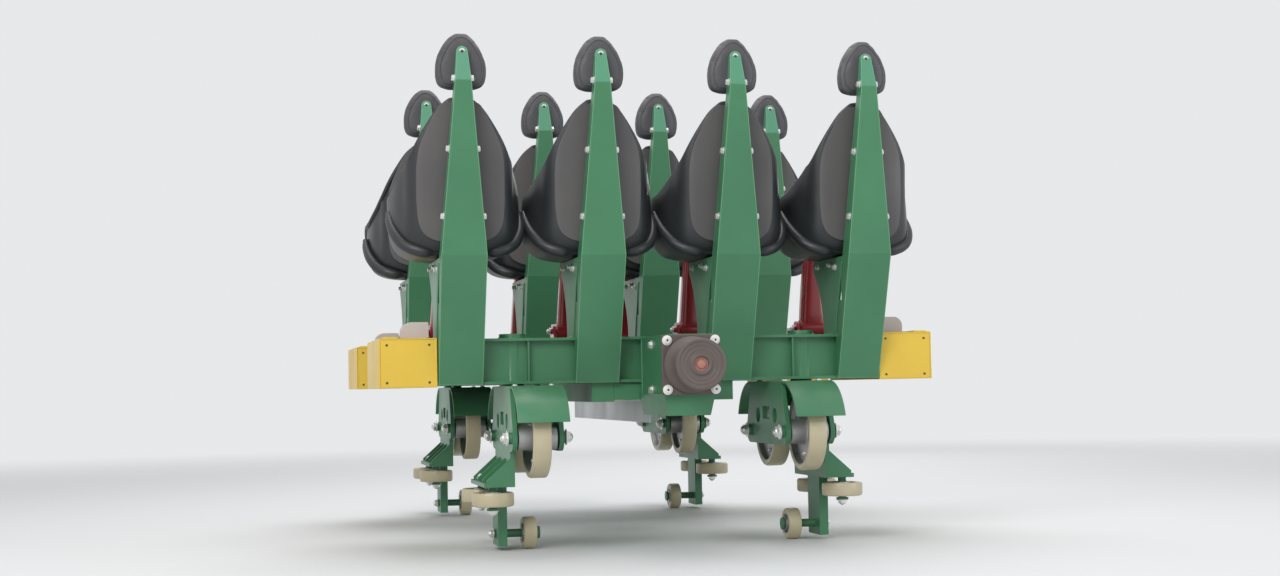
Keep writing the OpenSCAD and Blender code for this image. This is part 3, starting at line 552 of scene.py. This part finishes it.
tread = finish("floor_plate", (0.34, 0.35, 0.36), (0.25, 0.255, 0.26), 0.40, metallic=0.85, dust=0.45, wear=0.2)
tree = tread.node_tree
lug = tree.nodes.new("ShaderNodeGroup")
lug.node_tree = lugs
tree.links.new([n for n in tree.nodes if n.type == "TEX_COORD"][0].outputs["Object"], lug.inputs["Vector"])
raised = tree.nodes.new("ShaderNodeBump")
raised.inputs["Strength"].default_value = 0.9
raised.inputs["Distance"].default_value = 0.002
tree.links.new(lug.outputs["Height"], raised.inputs["Height"])
tree.links.new([n for n in tree.nodes if n.type == "BUMP" and n != raised][0].outputs[0], raised.inputs["Normal"])
tree.links.new(raised.outputs[0], tree.nodes["Principled BSDF"].inputs["Normal"])
paint_node("floor_pans", tread)
FLOOR_H, FLOOR_SCREW_STEP, FLOOR_SCREW_YS = 0.200, 0.235, (0.225, 0.560, 0.775)
bm = bmesh.new()
for y in row_at.values():
    for i in range(-4, 5):
        for dy in FLOOR_SCREW_YS:
            place = placed(at(i * FLOOR_SCREW_STEP, y + dy, FLOOR_H), (0, 0, 1))
            disc(bm, place, 0.0, 0.0022, 0.0085, 0.0060, segments=20)
settle("floor_screws", bm, zinc)

# Seat shells: a grey moulded cover, let into the bucket, closes the back of each seat. It is nearly flat
# across the middle, turns forwards at both sides and has a rounded edge. Folded steel lugs at the posts'
# side bolts hold it.
grey = finish("grey_shell", (0.100, 0.095, 0.096), (0.078, 0.074, 0.076), 0.52, bump=(420.0, 0.25), dust=0.15,
              wear=0.3, worn=(0.20, 0.19, 0.19, 1))
BACK_R, BACK_FLAT, BACK_ROLL, BACK_TURN = 0.900, 0.165, 0.090, math.radians(70)
BACK_START = math.asin(BACK_FLAT / BACK_R)
ROLL_AT = (BACK_FLAT - BACK_ROLL * math.sin(BACK_START), BACK_R - (BACK_R - BACK_ROLL) * math.cos(BACK_START))
SHELL = [(0.612, 0.070), (0.618, 0.105), (0.632, 0.138), (0.655, 0.164), (0.695, 0.181), (0.750, 0.188),
         (0.810, 0.191), (0.870, 0.191), (0.930, 0.190), (0.985, 0.184), (1.035, 0.171), (1.085, 0.149),
         (1.130, 0.127), (1.170, 0.105), (1.200, 0.084), (1.211, 0.062)]


def curve_table(rows, t):
    """Reads a table of equally spaced rows at t from 0 to 1 with a smooth cubic through every row."""
    last = len(rows) - 1
    i = min(int(t * last), last - 1)
    f = t * last - i
    a, b, c, d = (rows[max(0, min(last, i + k))] for k in (-1, 0, 1, 2))
    return [0.5 * (2 * q + (r - p) * f + (2 * p - 5 * q + 4 * r - s) * f * f + (3 * q - p - 3 * r + s) * f ** 3)
            for p, q, r, s in zip(a, b, c, d)]


def back_line(h):
    """Where the rear face of the seat backs lies before the post's foot at a height."""
    return -0.098 - 0.0577 * (h - POST_BEND_H)


def back_plan(s, inset=0.0, turn=BACK_TURN):
    """Across and forward at a distance s along the back's plan, drawn in by inset, up to a turn of its side."""
    flat = (BACK_R - inset) * BACK_START
    angle = min(turn, BACK_START + max(0.0, s - flat) / (BACK_ROLL - inset))
    if s < flat:
        angle = s / (BACK_R - inset)
        return (BACK_R - inset) * math.sin(angle), BACK_R - (BACK_R - inset) * math.cos(angle)
    rest = max(0.0, s - flat - (BACK_ROLL - inset) * (turn - BACK_START))
    return (ROLL_AT[0] + (BACK_ROLL - inset) * math.sin(angle) + rest * math.cos(turn),
            ROLL_AT[1] - (BACK_ROLL - inset) * math.cos(angle) + rest * math.sin(turn))


def shell_at(u, t):
    """A point of a seat shell's rear face: u from -1 to 1 across, t from 0 to 1 upwards."""
    h, half = curve_table(SHELL, t)
    low, high = 0.0, 0.5
    for _ in range(24):
        s = (low + high) / 2
        low, high = (s, high) if back_plan(s)[0] < half else (low, s)
    x, y = back_plan(abs(u) * low)
    return Vector((math.copysign(x, u), back_line(h) + y, h))


def sheet_of(bm, shape, columns, rows):
    """A grid of faces laid on a curved shape, which faces backwards."""
    for v in bmesh.ops.create_grid(bm, x_segments=columns, y_segments=rows, size=1)["verts"]:
        v.co = shape(v.co.x, (v.co.y + 1) / 2)


def at_every_seat(bm, row):
    """Moves a seat piece, made about the foot of a post, to the first seat and copies it to the others."""
    geom = bm.verts[:] + bm.edges[:] + bm.faces[:]
    for x in seats[row][1:]:
        copy = bmesh.ops.duplicate(bm, geom=geom)["geom"]
        bmesh.ops.translate(bm, verts=[v for v in copy if isinstance(v, bmesh.types.BMVert)],
                            vec=(x - seats[row][0], 0, 0))
    bmesh.ops.translate(bm, verts=bm.verts, vec=at(seats[row][0], row_at[row], 0))


def walled(obj, thickness, side, edge=0.004):
    """Gives a sheet its wall and a rounded edge."""
    wall = obj.modifiers.new("wall", "SOLIDIFY")
    wall.thickness, wall.offset = thickness, side
    rim = obj.modifiers.new("rounded_edge", "BEVEL")
    rim.width, rim.segments, rim.limit_method, rim.angle_limit = edge, 3, "ANGLE", math.radians(50)


for row in row_at:
    bm = bmesh.new()
    sheet_of(bm, shell_at, 36, 44)
    at_every_seat(bm, row)
    shell = settle(row + "_seat_backs", bm, grey)
    walled(shell, 0.012, -1)
    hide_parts(row + "_seat_shells")
LUG_TALL, LUG_WIDE, LUG_THICK, POST_WALL = 0.056, 0.032, 0.005, 0.008
bm = bmesh.new()
for row, y in row_at.items():
    for x, s, h in [(x, s, h) for x in seats[row] for s in (-1, 1) for h in SEAT_BOLT_HS]:
        loops = []
        for end in (h - LUG_TALL / 2, h + LUG_TALL / 2):
            out, near, far = post_half(end) - POST_WALL, post_back(end) + 0.014, back_line(end) + 0.003
            plan = [(out, near), (out, far), (out - LUG_WIDE, far), (out - LUG_WIDE, far - LUG_THICK),
                    (out - LUG_THICK, far - LUG_THICK), (out - LUG_THICK, near)]
            corners = [bm.verts.new(at(x + s * across, y + along, end)) for across, along in plan]
            loops.append([bm.edges.new(pair) for pair in zip(corners, corners[1:] + corners[:1])])
        bmesh.ops.bridge_loops(bm, edges=loops[0] + loops[1])
        for loop in loops:
            bmesh.ops.holes_fill(bm, edges=loop)
settle("back_lugs", bm, green)

# Buckets: one black moulding forms each seat's pan, wings and back, 14 mm thick and satin, with a rolled
# rim along the wings and a thick roll from the foot of its back up both sides. It stands on its bracket.
black = finish("black_moulding", (0.018, 0.021, 0.024), (0.024, 0.027, 0.030), 0.47, bump=(300.0, 0.10), coat=0.06,
               dust=0.06, wear=0.2, worn=(0.05, 0.05, 0.05, 1))
WINGS = [(-0.117, 1.218, 0.046), (-0.112, 1.178, 0.092), (-0.101, 1.110, 0.139), (-0.080, 1.040, 0.179),
         (-0.034, 0.972, 0.210), (0.024, 0.915, 0.234), (0.078, 0.878, 0.252), (0.130, 0.852, 0.264),
         (0.180, 0.838, 0.272), (0.235, 0.830, 0.275), (0.290, 0.800, 0.272), (0.345, 0.738, 0.262),
         (0.392, 0.672, 0.240), (0.421, 0.628, 0.205), (0.430, 0.608, 0.172)]
SPINE = [(-0.118, 1.222), (-0.110, 1.105), (-0.103, 0.985), (-0.096, 0.870), (-0.090, 0.770), (-0.080, 0.680),
         (-0.048, 0.601), (0.020, 0.563), (0.100, 0.560), (0.180, 0.560), (0.260, 0.560), (0.330, 0.562),
         (0.385, 0.570), (0.415, 0.584), (0.428, 0.600)]
BACK_ROWS, SEAT_INSET, BUCKET_WALL = (0.36, 0.52), 0.018, 0.014
ROLL = [(0.000, -0.030, 0.572), (0.050, -0.030, 0.572), (0.098, -0.030, 0.571), (0.140, -0.030, 0.571),
        (0.178, -0.022, 0.583), (0.208, -0.002, 0.604), (0.230, 0.030, 0.635), (0.245, 0.070, 0.668),
        (0.256, 0.115, 0.702), (0.264, 0.160, 0.735), (0.270, 0.200, 0.768)]
ROLL_R = [0.010, 0.010, 0.012, 0.024, 0.026, 0.026, 0.026, 0.025, 0.023, 0.020, 0.014]


def bucket_at(u, t):
    """A point of a bucket's inner face: u from -1 to 1 across, t from 0 at the lip to 1 at the top."""
    y_edge, h_edge, half = curve_table(WINGS, 1 - t)
    y_mid, h_mid = curve_table(SPINE, 1 - t)
    square = 3.0 + 1.0 * math.sin(math.pi * (1 - t))
    rise = 1 - math.cos(u * math.pi / 2) ** (2 / square) if abs(u) < 0.9999 else 1.0
    side = abs(math.sin(u * math.pi / 2)) ** (2 / square)
    point = Vector((half * side, y_mid + (y_edge - y_mid) * rise, h_mid + (h_edge - h_mid) * rise))
    share = min(1.0, max(0.0, (1 - t - BACK_ROWS[0]) / (BACK_ROWS[1] - BACK_ROWS[0])))
    share = 1 - share * share * (3 - 2 * share)
    if share:
        h = h_mid + (h_edge - h_mid) * abs(u) ** 3
        to_edge = Vector((half - ROLL_AT[0], y_edge - back_line(h_edge) - ROLL_AT[1]))
        flat, roll = BACK_R - SEAT_INSET, BACK_ROLL - SEAT_INSET
        if half < flat * math.sin(BACK_START):
            turn, length = BACK_START, flat * math.asin(half / flat)
        elif to_edge.length < roll:
            turn = math.asin(to_edge.x / roll)
            length = flat * BACK_START + roll * (turn - BACK_START)
        else:
            turn = math.atan2(to_edge.y, to_edge.x) + math.asin(roll / to_edge.length)
            length = flat * BACK_START + roll * (turn - BACK_START) + math.sqrt(to_edge.length_squared - roll ** 2)
        x, y = back_plan(abs(u) * length, SEAT_INSET, turn)
        point = point.lerp(Vector((x, back_line(h) + y, h)), share)
    return Vector((math.copysign(point.x, u), point.y, point.z))


bm = bmesh.new()
sheet_of(bm, bucket_at, 48, 64)
bmesh.ops.triangulate(bm, faces=bm.faces[:])
bucket_tree = BVHTree.FromBMesh(bm)
bm.free()
roll_path, roll_sizes = [], []
for i in range(-50, 51):
    x, y, h = curve_table(ROLL, abs(i) / 50)
    r = curve_table([(r,) for r in ROLL_R], abs(i) / 50)[0]
    guide = Vector((math.copysign(x, i), y, h))
    wall = bucket_tree.find_nearest(guide)[0]
    outwards = Vector((guide.x * 0.8, -0.12, -0.10)).normalized()
    roll_path.append(wall + outwards * max(BUCKET_WALL, r * 0.85))
    roll_sizes.append((r, r))
for row in row_at:
    bm = bmesh.new()
    sheet_of(bm, bucket_at, 48, 64)
    at_every_seat(bm, row)
    bucket = settle(row + "_bucket_mouldings", bm, black)
    walled(bucket, BUCKET_WALL, 1, 0.003)
    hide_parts(row + "_buckets")
    bm = bmesh.new()
    edge = ([bucket_at(-1, i / 70) for i in range(71)] + [bucket_at(-1 + i / 6, 1) for i in range(1, 12)]
            + [bucket_at(1, 1 - i / 70) for i in range(71)] + [bucket_at(1 - i / 10, 0) for i in range(1, 20)])
    bar(bm, edge, (0.0110, 0.0110), segments=12, closed=True)
    bar(bm, roll_path, roll_sizes, segments=16)
    at_every_seat(bm, row)
    settle(row + "_bucket_rims", bm, black, smooth=60)

# Headrests: integral-skin foam, firm and a little crowned, moulded round a plate that two bolts hold to
# the top of the post. A piped seam runs just inside the edge of its rear face.
foam = finish("grey_foam", (0.080, 0.079, 0.088), (0.062, 0.061, 0.069), 0.55, bump=(520.0, 0.35), dust=0.3,
              wear=0.3, worn=(0.14, 0.14, 0.15, 1))
HEADREST = [(0.001, 0.058), (0.006, 0.087), (0.022, 0.102), (0.050, 0.1085), (0.082, 0.1105), (0.112, 0.107),
            (0.142, 0.097), (0.172, 0.082), (0.202, 0.062), (0.226, 0.041), (0.238, 0.020)]
HEAD_FOOT, HEAD_TALL, HEAD_BACK, HEAD_DEEP = 1.265, 0.238, -0.178, 0.084
PIPE_IN, PIPE_UP, PIPE_R = 0.014, 0.012, 0.0036


def evaluated(obj):
    """The object's mesh with its modifiers applied."""
    bpy.context.view_layer.update()
    return bpy.data.meshes.new_from_object(obj.evaluated_get(bpy.context.evaluated_depsgraph_get()))


def swell(bm, voxel=0.006, pressure=4.0, cap=0.006):
    """Fills a closed blank as foam fills its skin: an even mesh, blown up by Cloth, each point held to a cap."""
    blank = bpy.data.meshes.new("blank")
    bm.to_mesh(blank)
    bm.free()
    obj = bpy.data.objects.new("blank", blank)
    bpy.context.scene.collection.objects.link(obj)
    skin = obj.modifiers.new("skin", "REMESH")
    skin.mode, skin.voxel_size = "VOXEL", voxel
    obj.data = evaluated(obj)
    obj.modifiers.clear()
    start = [v.co.copy() for v in obj.data.vertices]
    cloth = obj.modifiers.new("air", "CLOTH")
    cloth.settings.use_pressure = True
    cloth.settings.uniform_pressure_force = pressure
    cloth.settings.effector_weights.gravity = 0.0
    for step in range(1, 21):
        bpy.context.scene.frame_set(step)
    obj.data = evaluated(obj)
    obj.modifiers.clear()
    bpy.context.scene.frame_set(1)
    for v, home in zip(obj.data.vertices, start):
        move = v.co - home
        v.co = home + move * min(1.0, cap / max(move.length, 1e-9))
    out = bmesh.new()
    out.from_mesh(obj.data)
    for _ in range(3):
        bmesh.ops.smooth_vert(out, verts=out.verts, factor=0.5, use_axis_x=True, use_axis_y=True, use_axis_z=True)
    bpy.data.objects.remove(obj)
    return out


def headrest_at(p):
    """Lays a point of a cube on the headrest's blank: bullet-shaped from behind, thinner towards its edge."""
    t = (p.z + 1) / 2
    h, half = curve_table(HEADREST, t)
    crown = (1 - p.x ** 4) * (1 - (2 * t - 0.85) ** 4) if t < 0.92 else 0.0
    thin = 0.70 + 0.30 * max(0.0, crown)
    return Vector((p.x * half, HEAD_BACK + HEAD_DEEP * (0.46 + 0.46 * p.y * thin), HEAD_FOOT + h))


bm = bmesh.new()
bmesh.ops.create_cube(bm, size=2)
bmesh.ops.subdivide_edges(bm, edges=bm.edges[:], cuts=15, use_grid_fill=True)
for v in bm.verts:
    v.co = headrest_at(v.co)
cushion = swell(bm)
cushion_mesh = bpy.data.meshes.new("cushion")
cushion.to_mesh(cushion_mesh)
skin_tree = BVHTree.FromBMesh(cushion)
piping = []
for s, steps in ((1, range(1, 41)), (-1, range(39, 0, -1))):
    for i in steps:
        h, half = curve_table(HEADREST, i / 40)
        guide = Vector((s * max(half - PIPE_IN, 0.0), HEAD_BACK - 0.010,
                        HEAD_FOOT + PIPE_UP + h * (1 - 2 * PIPE_UP / HEAD_TALL)))
        piping.append(skin_tree.find_nearest(guide)[0])
cushion.free()
for row in row_at:
    bm = bmesh.new()
    bm.from_mesh(cushion_mesh)
    at_every_seat(bm, row)
    head = settle(row + "_headrest_cushions", bm, foam, smooth=60)
    smoother = head.modifiers.new("smoother", "SUBSURF")
    smoother.levels = smoother.render_levels = 1
    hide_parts(row + "_headrests")
    bm = bmesh.new()
    bar(bm, piping, (PIPE_R, PIPE_R), segments=8, closed=True)
    at_every_seat(bm, row)
    settle(row + "_headrest_piping", bm, foam, smooth=60)

# Post tips: a zinc-plated button screw in the rounded tip of each post holds the headrest's plate.
# A flat dark hexagon on its head is painted shade that stands in for its hex socket.
TIP_BACK, TIP_H = 0.2068, 1.415
bm, socket_shades = bmesh.new(), bmesh.new()
for row, y in row_at.items():
    for x in seats[row]:
        place = placed(at(x, y - TIP_BACK, TIP_H), (0, -1, -0.05))
        disc(bm, place, 0.0, 0.0035, 0.0150, 0.0135, segments=32)
        # A flat dark hexagon on the head: painted shade in place of a recessed socket
        disc(socket_shades, place, 0.0034, 0.0040, 0.0075, segments=6)
settle("tip_screws", bm, zinc)
settle("tip_socket_shades", socket_shades, dark_steel_and_socket_shade)

# Lap bars: a red arm of bent plate, wide at its hub, carries a foam pad across the thighs and two rubber
# grips. The pivots are red ears on the floor with a steel pin.
red = finish("red_paint", (0.40, 0.024, 0.032), (0.29, 0.016, 0.022), 0.24, coat=0.6, dust=0.1,
             worn=(0.30, 0.16, 0.15, 1))
paint_node("lap_pivots", red)
skin_black = finish("black_foam", (0.020, 0.020, 0.022), (0.030, 0.030, 0.032), 0.50, bump=(520.0, 0.4), dust=0.2,
                    wear=0.3, worn=(0.08, 0.08, 0.08, 1))
rubber_black = finish("grip_rubber", (0.016, 0.016, 0.017), (0.024, 0.024, 0.025), 0.62, bump=(900.0, 0.4))
ARM = [(0.0, 0.0, 0.040, 0.062), (-0.008, 0.230, 0.037, 0.0462), (-0.070, 0.430, 0.031, 0.0350),
       (-0.175, 0.520, 0.027, 0.0315), (-0.262, 0.535, 0.023, 0.0295)]
ARM_START, ARM_STEPS = 0.031, 28
HUB_R, PIN_R, PAD_HALF, ARM_REACH, ARM_UP = 0.040, 0.014, 0.225, 0.265, 0.535
GRIP_OUT, GRIP_AHEAD, GRIP_LEAN = 0.120, 0.015, math.radians(-18)


def spun(bm, outline, steps=64, slot=0, closed=True):
    """Spins an outline of [radius, height] about the Z axis."""
    before = set(bm.faces)
    verts = [bm.verts.new((r, 0, z)) for r, z in outline]
    edges = [bm.edges.new((verts[i - 1], verts[i])) for i in range(0 if closed else 1, len(verts))]
    bmesh.ops.spin(bm, geom=verts + edges, axis=(0, 0, 1), cent=(0, 0, 0), angle=math.tau, steps=steps,
                   use_merge=True)
    for face in set(bm.faces) - before:
        face.material_index = slot
    bmesh.ops.remove_doubles(bm, verts=bm.verts, dist=1e-6)


arm = bmesh.new()
spun(arm, [(PIN_R + 0.0006, -0.0645), (HUB_R - 0.003, -0.0645), (HUB_R, -0.0615), (HUB_R, 0.0615),
           (HUB_R - 0.003, 0.0645), (PIN_R + 0.0006, 0.0645)], 48)
bmesh.ops.rotate(arm, verts=arm.verts, cent=(0, 0, 0), matrix=Matrix.Rotation(math.pi / 2, 3, "Y"))
stations = [curve_table(ARM, ARM_START + (1 - ARM_START) * i / ARM_STEPS) for i in range(ARM_STEPS + 1)]
bar(arm, [Vector((0, s[0], s[1])) for s in stations],
    [(s[3], min(s[2], 0.0335 + 0.12 * s[1])) for s in stations], segments=36, square=5.0)
pad = bmesh.new()
spun(pad, [(0, -PAD_HALF + 0.006), (0.028, -PAD_HALF + 0.006), (0.036, -PAD_HALF + 0.012), (0.0395, -0.200),
           (0.0405, -0.100), (0.0410, 0.0), (0.0405, 0.100), (0.0395, 0.200), (0.036, PAD_HALF - 0.012),
           (0.028, PAD_HALF - 0.006), (0, PAD_HALF - 0.006)], 32, closed=False)
bmesh.ops.rotate(pad, verts=pad.verts, cent=(0, 0, 0), matrix=Matrix.Rotation(math.pi / 2, 3, "Y"))
bmesh.ops.translate(pad, verts=pad.verts, vec=(0, -ARM_REACH, ARM_UP))
bmesh.ops.recalc_face_normals(pad, faces=pad.faces)
pad = swell(pad, cap=0.004)
grips = bmesh.new()
ribs = [(0.0120 if i % 2 else 0.0136, 0.060 + 0.006 * i) for i in range(17)]
for s in (-1, 1):
    grip = bmesh.new()
    spun(grip, [(0, 0.030), (0.0105, 0.030), (0.0105, 0.048), (0.0136, 0.052)] + ribs
         + [(0.0138, 0.162), (0.0110, 0.170), (0.0060, 0.1735), (0, 0.174)], 28, closed=False)
    foot = Matrix.Translation((s * GRIP_OUT, GRIP_AHEAD - ARM_REACH, ARM_UP))
    bmesh.ops.transform(grip, matrix=foot @ Matrix.Rotation(GRIP_LEAN, 4, "X"), verts=grip.verts)
    made = bpy.data.meshes.new("grip")
    grip.to_mesh(made)
    grips.from_mesh(made)
    grip.free()
for joint in frame["joints"]:
    if "_lap_bar_" in joint["child"]:
        body, hinge = joint["child"], Vector(joint["pos_m"])
        for kind, source, mat, slot in (("arm", arm, red, "bar_red"), ("pad", pad, skin_black, "bucket_black"),
                                        ("grips", grips, rubber_black, "bucket_black")):
            copy = source.copy()
            bmesh.ops.translate(copy, verts=copy.verts, vec=hinge)
            piece = settle(f"{body}_{kind}", copy, mat, body)
            if kind == "arm":
                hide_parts(body)
                soft = piece.modifiers.new("soft_edges", "BEVEL")
                soft.width, soft.segments, soft.limit_method = 0.002, 2, "ANGLE"
                soft.angle_limit = math.radians(50)

# Coupling: a brown plate bolted to the green stub carries a rubber buffer, a bell with a raised ring round
# its bolt. At the front a dark drawbar swings on a pin in the clevis.
brown = finish("brown_plate", (0.130, 0.098, 0.090), (0.088, 0.068, 0.062), 0.6, dust=0.2)
paint_node("buffer_plate", brown, 0.003)
buffer_rubber = finish("brown_rubber", (0.128, 0.102, 0.092), (0.088, 0.070, 0.063), 0.56, bump=(260.0, 0.5),
                       dust=0.2, wear=0.45, worn=(0.30, 0.22, 0.20, 1))
rust = finish("rusted_bolt", (0.42, 0.20, 0.16), (0.30, 0.13, 0.10), 0.8, bump=(300.0, 0.8), wear=0.0)
bm = bmesh.new()
spun(bm, [(0, 0.001), (0.115, 0.001), (0.118, 0.004), (0.118, 0.016), (0.112, 0.024), (0.101, 0.034),
          (0.093, 0.050), (0.089, 0.070), (0.088, 0.090), (0.090, 0.112), (0.095, 0.132), (0.101, 0.145),
          (0.105, 0.152), (0.107, 0.160), (0.107, 0.168), (0.103, 0.175), (0.097, 0.1775), (0.092, 0.1765),
          (0.090, 0.1742), (0.085, 0.1738), (0.083, 0.1752), (0.078, 0.1752), (0.076, 0.1738), (0.068, 0.1736),
          (0.066, 0.1750), (0.061, 0.1750), (0.059, 0.1736), (0.050, 0.1738), (0.046, 0.1775), (0.042, 0.1815),
          (0.036, 0.1825), (0.031, 0.1790), (0.0285, 0.1700)], 96, closed=False)
spun(bm, [(0.0285, 0.1700), (0.020, 0.1690), (0.017, 0.1760), (0.008, 0.1785), (0, 0.1790)], 96, 1, closed=False)
bmesh.ops.transform(bm, matrix=placed(at(0, PLATE_REAR, PLATE_H), (0, -1, 0)), verts=bm.verts)
bumper = settle("buffer_bell", bm, [buffer_rubber, rust])
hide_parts("buffer")
dark = finish("dark_paint", (0.045, 0.045, 0.05), (0.03, 0.03, 0.033), 0.4, wear=0.6, worn=(0.22, 0.21, 0.20, 1))
paint_node("drawbar", dark, 0.003)

# Brake fin: a long plate of bare steel, fixed on edge under the cross ties.
# The brakes' pads keep its sides polished.
steel = finish("brushed_steel", (0.55, 0.56, 0.57), (0.42, 0.43, 0.44), 0.35, metallic=1.0)
paint_node("brake_fin", steel)

# Wheels: cast hubs with a ring of six bolts on each face carry urethane tyres. Road wheels run on the rail,
# guide wheels outside it and upstop wheels below it.
urethane = finish("urethane", (0.56, 0.50, 0.34), (0.47, 0.41, 0.27), 0.38, bump=(90.0, 0.25), coat=0.1, dust=0.35,
                  wear=0.0, scale=6.0)
cast = finish("cast_hub", (0.50, 0.50, 0.50), (0.38, 0.38, 0.38), 0.45, bump=(120.0, 0.5), metallic=0.9, dust=0.3)
TYRE_DEEP = 0.022
for kind, r, half, bore, hub, reach, across, head in (
        ("road_wheel", 0.170, 0.040, 0.0256, 0.052, 0.0848, 0.014, 0.007),
        ("guide_wheel", 0.090, 0.030, 0.0186, 0.034, 0.0328, 0.009, 0.005),
        ("upstop_wheel", 0.070, 0.030, 0.0186, 0.030, 0.0328, 0.009, 0.005)):
    made, inner, web = bmesh.new(), r - TYRE_DEEP, half / 2.75
    tyre_side = [(inner, half - 0.002), (r - 0.009, half), (r - 0.003, half - 0.003), (r, half - 0.010)]
    spun(made, [(a, -z) for a, z in tyre_side] + tyre_side[::-1], 80, 1)
    hub_side = [(bore, reach), (hub - 0.003, reach), (hub, reach - 0.003), (hub + 0.002, web + 0.004),
                (hub + 0.006, web), (inner - 0.012, web), (inner - 0.008, half - 0.006),
                (inner - 0.006, half - 0.003), (inner, half - 0.003)]
    spun(made, [(a, -z) for a, z in hub_side] + hub_side[::-1], 80)
    for i in range(6):
        turn = Matrix.Rotation(i * math.tau / 6, 4, "Z")
        for s in (-1, 1):
            spot = turn @ Vector(((hub + inner) / 2 - 0.003, 0, s * web))
            first = len(made.faces)
            hex_bolt(made, spot, (0, 0, s), across, head)
            made.faces.ensure_lookup_table()
            for face in made.faces[first:]:
                face.material_index = 2
    for name in nodes:
        if kind in name:
            low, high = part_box(name)
            middle = (Vector(low) + Vector(high)) / 2
            copy = made.copy()
            face_x = Matrix.Identity(4) if kind == "guide_wheel" else Matrix.Rotation(math.pi / 2, 4, "Y")
            bmesh.ops.transform(copy, matrix=Matrix.Translation(middle) @ face_x, verts=copy.verts)
            wheel = settle(name + "_spun", copy, [cast, urethane, zinc], name)
            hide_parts(name)

# Axle ends: zinc-plated domed nuts close the axles of the road, guide and upstop wheels, and low hex bolts
# hold the top plate of each carrier. They turn with the carrier.
RAIL_X, ROAD_NUT_OUT, ROAD_AXLE_Y, ROAD_AXLE_Z = 0.600, 0.124, 0.270, 0.490
GUIDE_X, GUIDE_Y, UPSTOP_X, UPSTOP_Z = 0.780, 0.190, 0.754, 0.070
for name in carriers:
    low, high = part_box(name)
    side = -1 if "_left_" in name else 1
    y = (low.y + high.y) / 2
    bm = bmesh.new()
    domed_nut(bm, Vector((side * UPSTOP_X, y, UPSTOP_Z)), (side, 0, 0), 0.034)
    for dy in (-1, 1):
        for s in (-1, 1):
            spot = Vector((side * RAIL_X + s * ROAD_NUT_OUT, y + dy * ROAD_AXLE_Y, ROAD_AXLE_Z))
            domed_nut(bm, spot, (s, 0, 0), 0.046)
        for z, way, across in ((0.182, -1, 0.034), (0.304, 1, 0.032)):
            domed_nut(bm, Vector((side * GUIDE_X, y + dy * GUIDE_Y, z)), (0, 0, way), across)
        for x in (0.520, 0.680):
            hex_bolt(bm, Vector((side * x, y + dy * 0.20, 0.712)), (0, 0, 1), 0.018, 0.004)
    settle(name + "_nuts", bm, zinc, name)
